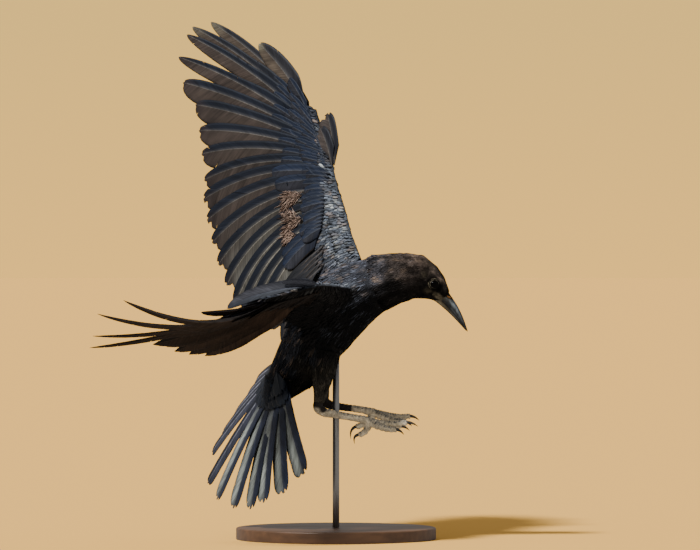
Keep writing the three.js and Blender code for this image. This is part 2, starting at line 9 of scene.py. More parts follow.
import json
import logging
import math
from dataclasses import dataclass, field, replace
from enum import Enum
from itertools import product
from typing import Sequence

import bmesh
import bpy
import numpy as np
from mathutils import Matrix, Vector
from mathutils.bvhtree import BVHTree

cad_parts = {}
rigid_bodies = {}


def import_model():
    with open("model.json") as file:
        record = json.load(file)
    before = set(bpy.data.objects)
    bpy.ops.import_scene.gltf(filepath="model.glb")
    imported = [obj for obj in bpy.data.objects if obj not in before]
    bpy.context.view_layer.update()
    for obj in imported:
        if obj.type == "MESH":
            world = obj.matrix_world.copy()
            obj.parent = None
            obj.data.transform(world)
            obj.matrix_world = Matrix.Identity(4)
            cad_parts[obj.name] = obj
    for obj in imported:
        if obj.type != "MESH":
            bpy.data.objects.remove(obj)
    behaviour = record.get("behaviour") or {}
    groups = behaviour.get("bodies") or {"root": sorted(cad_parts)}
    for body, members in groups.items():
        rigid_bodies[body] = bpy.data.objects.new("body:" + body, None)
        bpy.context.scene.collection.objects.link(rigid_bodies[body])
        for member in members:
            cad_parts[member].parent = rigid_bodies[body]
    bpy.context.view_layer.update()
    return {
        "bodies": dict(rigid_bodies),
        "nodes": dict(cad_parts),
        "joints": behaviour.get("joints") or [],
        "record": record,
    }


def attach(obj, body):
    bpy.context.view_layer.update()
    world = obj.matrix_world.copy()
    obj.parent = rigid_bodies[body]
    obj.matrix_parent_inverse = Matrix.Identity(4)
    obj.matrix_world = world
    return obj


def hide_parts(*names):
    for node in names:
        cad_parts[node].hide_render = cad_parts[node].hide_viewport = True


MM = 0.001
BODY = "root"
BAKE_MAP = "OFBake"
TONES = "Tone"
VANES = ("vane_upper", "vane_under")
LOG = logging.getLogger("crow")
FINISHES: dict[str, bpy.types.Material] = {}
FRAME: dict = {}

Vec3 = tuple[float, float, float]
Colour = tuple[float, float, float]


def linear(red: int, green: int, blue: int) -> Colour:
    """Turns a display colour of 0 to 255 into the linear colour that shaders take.

    Args:
        red: Red, 0 to 255.
        green: Green, 0 to 255.
        blue: Blue, 0 to 255.

    Returns:
        The linear colour.
    """
    shares = np.array([red, green, blue]) / 255.0
    curve = np.where(shares > 0.04045, ((shares + 0.055) / 1.055) ** 2.4, shares / 12.92)
    return tuple(float(c) for c in curve)


def unit(v: np.ndarray) -> np.ndarray:
    """Scales vectors to a length of one along the last axis."""
    return v / np.maximum(np.linalg.norm(v, axis=-1, keepdims=True), 1e-9)


def smoothstep(x: np.ndarray | float, low: float, high: float) -> np.ndarray:
    """Rises smoothly from 0 at low to 1 at high."""
    t = np.clip((x - low) / (high - low), 0.0, 1.0)
    return t * t * (3.0 - 2.0 * t)


def between(a: Colour | np.ndarray, b: Colour | np.ndarray, share: np.ndarray | float) -> np.ndarray:
    """The value that lies a share of the way from a to b."""
    return np.asarray(a) * (1 - share) + np.asarray(b) * share


def mottled(points: np.ndarray, step: float, seed: int) -> np.ndarray:
    """Smooth random values of about -1 to 1 over space, in lumps about step across.

    Args:
        points: Places, one row each.
        step: About how far it is across a lump.
        seed: Picks the pattern.

    Returns:
        One value for each place.
    """
    rng = np.random.default_rng(seed)
    total = np.zeros(len(points))
    waves = 10
    for _ in range(waves):
        way = unit(rng.normal(size=3)) * (2 * math.pi / (step * rng.uniform(1.1, 2.6)))
        total += np.sin(points @ way + rng.uniform(0, 2 * math.pi))
    return total / math.sqrt(waves)


# ---- Meshes ------------------------------------------------------------------------------------------------
@dataclass
class Shells:
    """Closed shells that are gathered into one mesh, with their colours and maps."""

    points: list[np.ndarray] = field(default_factory=list)
    faces: list[np.ndarray] = field(default_factory=list)
    tones: list[np.ndarray] = field(default_factory=list)
    vane_map: list[np.ndarray] = field(default_factory=list)
    bake_map: list[np.ndarray] = field(default_factory=list)
    slots: list[np.ndarray] = field(default_factory=list)
    count: int = 0

    def add_tube(self, rings: np.ndarray, tones: np.ndarray, vane: np.ndarray,
                 strip: tuple[float, float] = (0.0, 1.0), under_from: int | None = None) -> None:
        """Adds a closed tube of rings.

        Args:
            rings: Points, as rings by columns by 3, with the loop running over the top and back under it.
            tones: Linear colours, as rings by columns by 3.
            vane: Pattern map, as rings by columns by 2.
            strip: First and last place of this shell across the bake map.
            under_from: Column from which the faces take the second material, if any.
        """
        last, columns = rings.shape[0] - 1, rings.shape[1]
        r, c = np.meshgrid(np.arange(last), np.arange(columns), indexing="ij")
        here, nxt = r * columns + c, r * columns + (c + 1) % columns
        quads = [np.stack([here, nxt, nxt + columns, here + columns], -1).reshape(-1, 4)]
        along = [np.stack([r, r, r + 1, r + 1], -1).reshape(-1, 4) / last]
        across = [np.stack([c, c + 1, c + 1, c], -1).reshape(-1, 4) / columns]
        k = np.arange(columns // 2 - 1)
        cap = np.stack([k, k + 1, columns - 2 - k, columns - 1 - k], -1)
        for ring, loops in ((0, cap[:, ::-1]), (last, cap)):
            quads.append(ring * columns + loops)
            along.append(np.full(loops.shape, ring / last))
            across.append(loops / columns)
        quads, along, across = (np.concatenate(parts) for parts in (quads, along, across))
        slot = np.zeros(len(quads), int)
        if under_from is not None:
            slot[: c.size] = c.ravel() >= under_from
        flat = rings.reshape(-1, 3)
        p, q, s, t = (flat[quads[:, i]] for i in range(4))
        if (p * (np.cross(q, s) + np.cross(s, t))).sum() < 0:
            quads, along, across = quads[:, ::-1], along[:, ::-1], across[:, ::-1]
        start, end = strip
        self.points.append(flat)
        self.faces.append(quads + self.count)
        self.tones.append(tones.reshape(-1, 3))
        self.vane_map.append(vane.reshape(-1, 2)[quads.ravel()])
        self.bake_map.append(np.stack([start + (end - start) * across, along], -1).reshape(-1, 2))
        self.slots.append(slot)
        self.count += len(flat)

    def mesh(self, name: str) -> bpy.types.Object:
        """Makes one object of all the shells, in metres.

        Args:
            name: Name of the object.

        Returns:
            The object.
        """
        mesh = bpy.data.meshes.new(name)
        faces = np.vstack(self.faces)
        mesh.from_pydata((np.vstack(self.points) * MM).tolist(), [], faces.tolist())
        for title, data in (("Vane", self.vane_map), (BAKE_MAP, self.bake_map)):
            layer = mesh.uv_layers.new(name=title)
            layer.data.foreach_set("uv", np.vstack(data).astype(np.float32).ravel())
        tint(mesh, np.vstack(self.tones))
        mesh.polygons.foreach_set("material_index", np.concatenate(self.slots).astype(np.int32))
        mesh.polygons.foreach_set("use_smooth", np.ones(len(faces), bool))
        return placed(name, mesh)


def tint(mesh: bpy.types.Mesh, tones: np.ndarray) -> None:
    """Writes linear colours onto the points of a mesh.

    Args:
        mesh: Mesh to colour.
        tones: One linear colour for each point.
    """
    layer = mesh.attributes.new(TONES, "FLOAT_COLOR", "POINT")
    rgba = np.ones((len(tones), 4), np.float32)
    rgba[:, :3] = tones
    layer.data.foreach_set("color", rgba.ravel())


def move(mesh: bpy.types.Mesh, points: np.ndarray) -> None:
    """Moves the points of a mesh to places in millimetres."""
    mesh.vertices.foreach_set("co", (points * MM).astype(np.float32).ravel())
    mesh.update()


def placed(name: str, mesh: bpy.types.Mesh) -> bpy.types.Object:
    """Links a mesh into the scene as an object at the origin.

    Args:
        name: Name of the object.
        mesh: Its mesh.

    Returns:
        The object.
    """
    mesh.update()
    piece = bpy.data.objects.new(name, mesh)
    bpy.context.scene.collection.objects.link(piece)
    return piece


def triangles_of(mesh: bpy.types.Mesh) -> int:
    """How many triangles a mesh has."""
    return sum(len(face.vertices) - 2 for face in mesh.polygons)


def hand_over(piece: bpy.types.Object, finishes: Sequence[str], slot: str, *nodes: str) -> bpy.types.Object:
    """Gives a finished piece its finishes, hangs it on the body and hides the solids that it stands for.

    Args:
        piece: The piece.
        finishes: The names of its finishes, in the order of its material slots.
        slot: The kind of surface it is; not used.
        nodes: The solids that it stands for.

    Returns:
        The piece.
    """
    for finish in finishes:
        piece.data.materials.append(FINISHES[finish])
    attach(piece, BODY)
    if nodes:
        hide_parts(*nodes)
    LOG.info("%s: %d triangles", piece.name, triangles_of(piece.data))
    return piece


# ---- Curves ------------------------------------------------------------------------------------------------
@dataclass(frozen=True)
class Bow:
    """A curve from root to tip through a control point."""

    root: np.ndarray
    control: np.ndarray
    tip: np.ndarray

    def at(self, t: np.ndarray) -> np.ndarray:
        """The points at shares t of the curve."""
        t = np.asarray(t, float)[..., None]
        return (1 - t) ** 2 * self.root + 2 * (1 - t) * t * self.control + t**2 * self.tip

    def ahead(self, t: np.ndarray) -> np.ndarray:
        """The unit directions at shares t of the curve."""
        t = np.asarray(t, float)[..., None]
        return unit(2 * (1 - t) * (self.control - self.root) + 2 * t * (self.tip - self.control))

    def part(self, start: float, end: float, offset: np.ndarray) -> "Bow":
        """The stretch from start to end, moved by offset.

        Args:
            start: Share of the curve where the stretch starts.
            end: Share where it ends.
            offset: How far it is moved.

        Returns:
            The stretch as a curve.
        """
        middle = ((1 - start) * (1 - end) * self.root + (start + end - 2 * start * end) * self.control
                  + start * end * self.tip)
        return Bow(self.at(start) + offset, middle + offset, self.at(end) + offset)

    def toward(self, other: "Bow", share: float) -> "Bow":
        """The curve that lies a share of the way to another one.

        Args:
            other: The curve at a share of 1.
            share: How far towards that curve.

        Returns:
            The curve between the two.
        """
        mix = [(1 - share) * a + share * b for a, b in
               ((self.root, other.root), (self.control, other.control), (self.tip, other.tip))]
        return Bow(*mix)

    def length(self) -> float:
        """The length of the curve, from short chords."""
        points = self.at(np.linspace(0, 1, 17))
        return float(np.linalg.norm(np.diff(points, axis=0), axis=1).sum())


def bowed(root: np.ndarray, tip: np.ndarray, off: np.ndarray) -> Bow:
    """A curve from root to tip whose middle stands off its chord by off."""
    return Bow(root, (root + tip) / 2 + 2 * off, tip)


# ---- Feathers ----------------------------------------------------------------------------------------------
@dataclass(frozen=True)
class Plume:
    """The colours of one kind of flight feather."""

    outer: Colour = linear(12, 16, 26)
    inner: Colour = linear(51, 44, 41)
    # The inner vane's sheen colour: painted highlight where light catches the gloss.
    glow: Colour = linear(58, 50, 45)
    tip: Colour = linear(38, 31, 31)
    shaft: Colour = linear(92, 88, 84)
    under_outer: Colour = linear(30, 23, 18)
    under_inner: Colour = linear(50, 38, 30)
    under_shaft: Colour = linear(80, 64, 52)


@dataclass(frozen=True)
class Vane:
    """The shape of one flight feather's vane.

    The round of the tip is the power of its outline: 2 is a half ellipse, and more is blunter.
    """

    width: float
    outer_share: float = 0.3
    notch: float = 0.0
    tip_from: float = 0.72
    tip_round: float = 2.2
    open_from: float = 0.05
    open_to: float = 0.2
    thick: float = 0.36
    tilt: float = 8.0
    camber: float = 0.06
    shaft_radius: float = 1.1
    splits: int = 3
    split_depth: float = 0.45
    fray: float = 0.015
    tip_fray: float = 0.06
    rows: int = 52
    speckle: float = 0.05
    vary: float = 0.16

    def half_width(self, t: np.ndarray, outer: bool) -> np.ndarray:
        """The width of one side of the vane at shares t of the shaft, in millimetres.

        Args:
            t: Shares of the shaft.
            outer: Whether it is the outer side.

        Returns:
            One width for each share.
        """
        side = self.outer_share if outer else 1 - self.outer_share
        past = np.clip((t - self.tip_from) / (1 - self.tip_from), 0, 1)
        tip = np.clip(1 - past**self.tip_round, 0, 1) ** (1 / self.tip_round)
        opened = smoothstep(t, self.open_from, self.open_to)
        narrowed = 1 - self.notch * smoothstep(t, 0.4, 0.62) * (0.75 if outer else 1.0)
        return self.width * side * tip * (0.1 + 0.9 * opened) * narrowed

    def barb_reach(self, t: np.ndarray, length: float, outer: bool, lean: float) -> np.ndarray:
        """How far from the shaft each barb ends when it leans towards the tip by lean per unit of width.

        Args:
            t: Shares of the shaft.
            length: Length of the shaft in millimetres.
            outer: Whether it is the outer side.
            lean: How far a barb runs forward per unit of width.

        Returns:
            One reach for each barb, in millimetres.
        """
        reach = self.half_width(t, outer)
        for _ in range(24):
            reach = 0.5 * reach + 0.5 * self.half_width(np.clip(t + reach * lean / length, 0, 1), outer)
        return reach


OUTER_COLUMNS = (1.0, 0.72, 0.4)
INNER_COLUMNS = (0.2, 0.42, 0.64, 0.84, 1.0)
SHAFT = len(OUTER_COLUMNS) + 1
OUTER_LEAN = 1.9
INNER_LEAN = 1.05
SHAFT_TAPER = 0.85
SPLIT_PLACES = (0.35, 0.93)
SPLIT_WIDTHS = (0.0015, 0.004)
OUTER_SPLITS = 0.35
STRIP_GAP = 0.04
PATTERN_UNIT = 100.0
PATTERN_STEP = 0.37
WAVE = 0.16


@dataclass
class FeatherMaker:
    """Builds single flight feathers into a set of shells."""

    shells: Shells
    rng: np.random.Generator
    strips: int
    made: int = 0

    def stations(self, vane: Vane) -> tuple[np.ndarray, np.ndarray, np.ndarray]:
        """The shares of the shaft where barbs are drawn, with how far each reaches on both sides.

        Args:
            vane: Shape of the feather.

        Returns:
            The shares and the reach on each side.
        """
        base = np.linspace(0.0, 1.0, vane.rows) ** 0.92
        outer, inner = (1 - vane.fray * self.rng.random(vane.rows) for _ in range(2))
        tip_fray = smoothstep(base, 0.9, 1.0) * vane.tip_fray
        outer, inner = (side - tip_fray * self.rng.random(vane.rows) for side in (outer, inner))
        places, outers, inners = [base], [outer], [inner]
        for _ in range(vane.splits):
            at = self.rng.uniform(*SPLIT_PLACES)
            width = self.rng.uniform(*SPLIT_WIDTHS)
            deep = 1 - vane.split_depth * self.rng.uniform(0.4, 1.0)
            on_outer = self.rng.random() < OUTER_SPLITS
            places.append(np.array([at - width, at, at + width]))
            cut, whole = np.array([1.0, deep, 1.0]), np.ones(3)
            outers.append(cut if on_outer else whole)
            inners.append(whole if on_outer else cut)
        t = np.concatenate(places)
        order = np.argsort(t)
        return t[order], np.concatenate(outers)[order], np.concatenate(inners)[order]

    def feather(self, curve: Bow, upper: np.ndarray, vane: Vane, plume: Plume, flip: int = 1) -> None:
        """Adds one feather.

        Args:
            curve: The line of its shaft.
            upper: The way its upper side faces.
            vane: Its shape.
            plume: Its colours.
            flip: 1 where the leading side is upper x ahead, and -1 where it is the other.
        """
        t, outer_keep, inner_keep = self.stations(vane)
        length = curve.length()
        outer_reach = vane.barb_reach(t, length, True, OUTER_LEAN) * outer_keep
        inner_reach = vane.barb_reach(t, length, False, INNER_LEAN) * inner_keep
        radius = vane.shaft_radius * (1 - SHAFT_TAPER * t)
        s = np.stack([*(np.maximum(outer_reach * f, radius) for f in OUTER_COLUMNS),
                      radius, radius * 0, -radius,
                      *(-np.maximum(inner_reach * f, radius) for f in INNER_COLUMNS)], 1)
        # A barb leans towards the tip, so the further out a point is, the further on it lies along the shaft.
        lean = np.where(s > 0, OUTER_LEAN, INNER_LEAN)
        place = np.clip(t[:, None] + np.abs(s) * lean / length, 0, 1.0)
        spot, ahead = curve.at(place), curve.ahead(place)
        flat_lead = unit(np.cross(upper, ahead)) * flip
        flat_up = unit(np.cross(ahead, flat_lead)) * flip
        tilt = math.radians(vane.tilt)
        lead = flat_lead * math.cos(tilt) + flat_up * math.sin(tilt)
        up = flat_up * math.cos(tilt) - flat_lead * math.sin(tilt)
        # The vane waves a little, sags to both sides of the shaft and thins towards its edges.
        wave = np.convolve(self.rng.normal(0, WAVE, len(t)), np.ones(5) / 5, "same")
        wave = wave[:, None] * (np.abs(s) / max(vane.width, 1.0))
        sag = -vane.camber * s**2 / max(vane.width, 1.0) * np.where(s > 0, 0.7, 1.4) + wave * 2
        ridge = np.zeros_like(s)
        ridge[:, SHAFT] = radius * 0.75
        half = vane.thick / 2 * (1 - 0.75 * np.abs(s) / np.maximum(np.abs(s).max(1, keepdims=True), 1e-6))
        line = spot + lead * s[..., None]
        top = line + up * (sag + half + ridge)[..., None]
        under = line + up * (sag - half - ridge * 1.2)[..., None]
        row = np.repeat((t * length)[:, None], s.shape[1], 1) / PATTERN_UNIT
        pattern = np.stack([s / PATTERN_UNIT + self.made * PATTERN_STEP, row], -1)
        strip = ((self.made + STRIP_GAP) / self.strips, (self.made + 1 - STRIP_GAP) / self.strips)
        self.shells.add_tube(np.concatenate([top, under[:, ::-1]], 1), self.colours(s, t, vane, plume),
                             np.concatenate([pattern, pattern[:, ::-1]], 1), strip, under_from=s.shape[1])
        self.made += 1

    def colours(self, s: np.ndarray, t: np.ndarray, vane: Vane, plume: Plume) -> np.ndarray:
        """The colours over the upper and under side of one feather.

        Args:
            s: Places across the feather.
            t: Places along it.
            vane: Shape of the feather.
            plume: Its colours.

        Returns:
            The linear colours of its points.
        """
        outer = np.clip(s / (vane.width * vane.outer_share), 0, 1)
        inner = np.clip(-s / (vane.width * (1 - vane.outer_share)), 0, 1)
        along = np.repeat(t[:, None], s.shape[1], 1)
        phase = self.rng.uniform(0, 2 * math.pi, 3)
        bars = 0.5 * (np.sin(along * 46 + inner * 4 + phase[0]) + np.sin(along * 19 - inner * 7 + phase[1]))
        shade = self.rng.uniform(1 - vane.vary, 1 + vane.vary) * (1 + self.rng.normal(0, 0.09, (len(t), 1)))
        shade = (shade * (1 + self.rng.normal(0, vane.speckle, s.shape)) * (1 + 0.11 * bars))[..., None]

        def mix(a: Colour | np.ndarray, b: Colour, share: np.ndarray) -> np.ndarray:
            """The colours a share of the way to another one."""
            return between(a, b, share[..., None])

        # The upper side: a painted sheen along the outer vane and a painted sheen along the inner one, where
        # light catches the gloss, and a plain tip.
        is_inner = (s < -1e-6).astype(float)
        painted_outer_sheen = 1 + 0.3 * np.exp(-((outer - 0.45) / 0.25) ** 2) * (1 - is_inner)
        top = np.array(plume.outer) * painted_outer_sheen[..., None]
        top = mix(top, plume.inner, is_inner * (0.45 + 0.55 * smoothstep(along, 0.2, 0.5)))
        # A painted sheen of light along the middle of the inner vane.
        glow = np.exp(-((inner - 0.4) / 0.28) ** 2) * is_inner * smoothstep(along, 0.22, 0.5)
        glow *= (1 - 0.55 * smoothstep(along, 0.84, 0.97)) * (0.75 + 0.25 * np.sin(along * 11 + phase[2]))
        top = mix(top, plume.glow, np.clip(glow, 0, 1))
        top = mix(top, plume.outer, smoothstep(inner, 0.78, 1.0) * 0.5)
        top = mix(top, plume.tip, smoothstep(along, 0.84, 0.99) * 0.75)
        # The under side, with a dark inner edge, and the shaft on both sides.
        below = mix(mix(plume.under_outer, plume.under_inner, is_inner), plume.outer, outer * 0.25)
        below *= 1 - 0.35 * smoothstep(inner, 0.5, 1.0)[..., None]
        beside = slice(SHAFT - 1, SHAFT + 2)
        top[:, beside] = between(top[:, beside], plume.shaft, 0.2)
        top[:, SHAFT], below[:, SHAFT] = plume.shaft, plume.under_shaft
        return np.clip(np.concatenate([top * shade, (below * shade)[:, ::-1]], 1), 0, 1)


# ---- Wings -------------------------------------------------------------------------------------------------
@dataclass(frozen=True)
class Row:
    """A row of flight feathers, from the innermost primary outwards or from the wrist inwards."""

    length: Sequence[float]
    sweep: Sequence[float]
    lift: Sequence[float]
    bow: Sequence[float]
    arch: Sequence[float]


@dataclass(frozen=True)
class Side:
    """The sizes of one wing, with the same names as its solids have."""

    name: str
    side: int
    upper: Vec3
    wrist: Vec3
    elbow: Vec3
    fingertip: Vec3
    primaries: Row
    secondaries: Row
    tertials: Row
    tertial_root: Vec3
    tertial_spread: Vec3
    tertial_upper: Vec3
    tertial_width: float
    tertial_count: int
    fan_turn: Vec3
    fan_width: float
    thumb_width: float
    alula: Row
    alula_root: Vec3
    arm: Sequence[tuple[Vec3, Vec3]]
    hand: Sequence[tuple[Vec3, Vec3]]
    moulted: frozenset[int]


LEFT = Side(
    name="left", side=1, upper=(-0.608, -0.76, 0.228),
    wrist=(-3, 70, 447), elbow=(-14, 54, 364), fingertip=(-27, 112, 521),
    primaries=Row(
        length=(193, 199, 207, 220, 247, 265, 263, 254, 224, 131),
        sweep=(63.7, 56.2, 50, 43.7, 40.3, 35.7, 30.4, 28.7, 24.8, 16.6),
        lift=(0,) * 10, bow=(13, 10, 8, 7, 8, 9, 9, 9, 8, 4), arch=(5, 4, 3, 2, 0, -2, -4, -5, -5, -2)),
    secondaries=Row(
        length=(195, 188, 181, 175, 169, 164, 153, 142, 131),
        sweep=(68.5, 74.2, 81.2, 88.5, 96.5, 104.4, 108.4, 112.6, 117.5),
        lift=(0,) * 9, bow=(14, 15, 16, 17, 18, 18, 16, 14, 12), arch=(6,) * 9),
    tertials=Row(length=(122, 114, 104), sweep=(119, 122, 126), lift=(0, 1, 2), bow=(9,) * 3, arch=(6,) * 3),
    tertial_root=(-13, 48, 352), tertial_spread=(0, -6, -13), tertial_upper=(-0.608, -0.76, 0.228),
    tertial_width=24, tertial_count=5, fan_turn=(0, 0, 0), fan_width=1.0, thumb_width=34,
    alula=Row(length=(68, 54), sweep=(-13, -4), lift=(3, 5), bow=(4,) * 2, arch=(3,) * 2),
    alula_root=(-2, 70, 450),
    arm=(((32, 10, 338), (-60, 24, -74)), ((21, 30, 366), (-66, 36, -48)), ((13, 44, 397), (-60, 41, -24)),
         ((3, 58, 428), (-56, 40, -8)), ((0, 66, 442), (-56, 41, -1))),
    hand=(((0, 67, 443), (-56, 41, 0)), ((-4, 77, 465), (-46, 34, 6)), ((-15, 96, 496), (-33, 25, 8)),
          ((-23, 110, 520), (-20, 15, 8))),
    moulted=frozenset((2, 3, 4, 5, 6)))

RIGHT = Side(
    name="right", side=-1, upper=(-0.2885, 0.3466, 0.8925),
    wrist=(-16, -150, 303), elbow=(-34, -90, 282), fingertip=(-81, -200, 288),
    primaries=Row(
        length=(179, 183, 184, 182, 175, 235, 228, 224, 200, 98),
        sweep=(70.7, 66.5, 61.8, 56.2, 46.8, 30, 17.9, 6.8, -3.3, -8.9),
        lift=(0.5, 1.8, 3, 4.5, 2.6, 1.5, 0.2, 2.5, 2.5, -7.5),
        bow=(8, 8, 8, 8, 8, 10, 9, 8, 7, 3), arch=(-3, -3, -4, -5, -7, -13, -17, -28, -31, -5)),
    secondaries=Row(
        length=(179, 173, 167, 161, 154, 146, 139, 132, 125),
        sweep=(73.8, 75.8, 78.1, 80, 82, 84.2, 86.6, 89.4, 93),
        lift=(0.2, 1.5, 2.9, 4.7, 7.1, 9.4, 11.9, 14.7, 17.7),
        bow=(8,) * 9, arch=(0, 0, 0, 1, 2, 2, 3, 3, 3)),
    tertials=Row(length=(112, 104, 96), sweep=(50, 56, 62), lift=(9, 10, 11), bow=(6,) * 3, arch=(5,) * 3),
    tertial_root=(-24, -78, 300), tertial_spread=(7, 9, 0), tertial_upper=(-0.2, -0.8, 0.55),
    tertial_width=23, tertial_count=9, thumb_width=11, fan_turn=(0, 0.42, 0), fan_width=0.68,
    alula=Row(length=(58, 46), sweep=(-12, -3), lift=(2, 4), bow=(3,) * 2, arch=(2,) * 2),
    alula_root=(-20, -156, 305),
    arm=(((17, -52, 303), (-50, 20, -56)), ((6, -84, 304), (-62, 24, -44)), ((-4, -114, 305), (-62, 26, -32)),
         ((-12, -142, 305.5), (-56, 27, -28)), ((-15, -152, 305.5), (-55, 27, -27))),
    hand=(((-15.5, -153, 305.5), (-55, 27, -27)), ((-34, -172, 301), (-45, 22, -23)),
          ((-59, -190, 295), (-33, 19, -18)), ((-80, -203, 290), (-19, 10, -9))),
    moulted=frozenset())

SLOTTED = range(5, 9)
PALE_FINGERS = (5.5, 9.0)
FAN_FROM_TO = (6.0, 3.0)
SHEEN_FROM_TO = (0.15, 0.6)
QUILL_BACK = {"primary": 9.0, "secondary": 6.0}
WRIST_GAP = 0.08
SECONDARY_STEP = 2.6
TERTIAL_STEP = 3.6
TERTIAL_LAYER = 0.6
TERTIAL_CUTS = (0.0, 0.22, 0.1, 0.34)
ALULA_SPACING = 4.0
COVERT_SHIFT = 0.9
COVERT_LENGTHS = (0.84, 1.1)

PRIMARY = Vane(width=36, notch=0.42, tip_from=0.64, tip_round=1.9, splits=3)
PRIMARY_THIN = Vane(width=27, notch=0.6, tip_from=0.6, tip_round=1.8, splits=6, tip_fray=0.3, split_depth=0.6,
                    tilt=3.0, speckle=0.1)
PRIMARY_LAST = Vane(width=32, outer_share=0.46, tip_from=0.5, tip_round=2.0, splits=2, open_to=0.42)
PRIMARY_INNER = Vane(width=33, tip_from=0.8, tip_round=2.3, splits=3)
SECONDARY = Vane(width=37, tip_from=0.84, tip_round=2.4, splits=3, camber=0.09)
TERTIAL = Vane(width=36, tip_from=0.68, tip_round=2.0, splits=5, camber=0.1, speckle=0.16, tip_fray=0.16,
               open_to=0.5, vary=0.3)
ALULA = Vane(width=34, tip_from=0.72, tip_round=2.2, splits=1, rows=34, shaft_radius=0.7)
GREATER = Vane(width=17, tip_from=0.72, tip_round=2.1, splits=1, rows=26, shaft_radius=0.5, thick=0.3,
               camber=0.16, outer_share=0.38)
PRIMARY_COVERT = replace(GREATER, width=16, outer_share=0.34)
SECONDARY_COVERT = replace(GREATER, width=22)
MEDIAN = Vane(width=15, tip_from=0.62, tip_round=2.0, splits=1, rows=18, shaft_radius=0.35, thick=0.3,
              camber=0.2, outer_share=0.42, fray=0.05, tip_fray=0.12)
FOLDED_LAST = replace(PRIMARY_THIN, width=15, notch=0.0)
FOLDED = dict(tilt=3.0, vary=0.34)
FOLDED_PRIMARY = dict(tip_from=0.72, tip_round=1.7, tip_fray=0.4, splits=5, open_to=0.45, **FOLDED)
FOLDED_SECONDARY = dict(tip_from=0.74, tip_round=1.8, tip_fray=0.3, splits=4, open_to=0.5, **FOLDED)
FOLDED_WIDER = 1.15


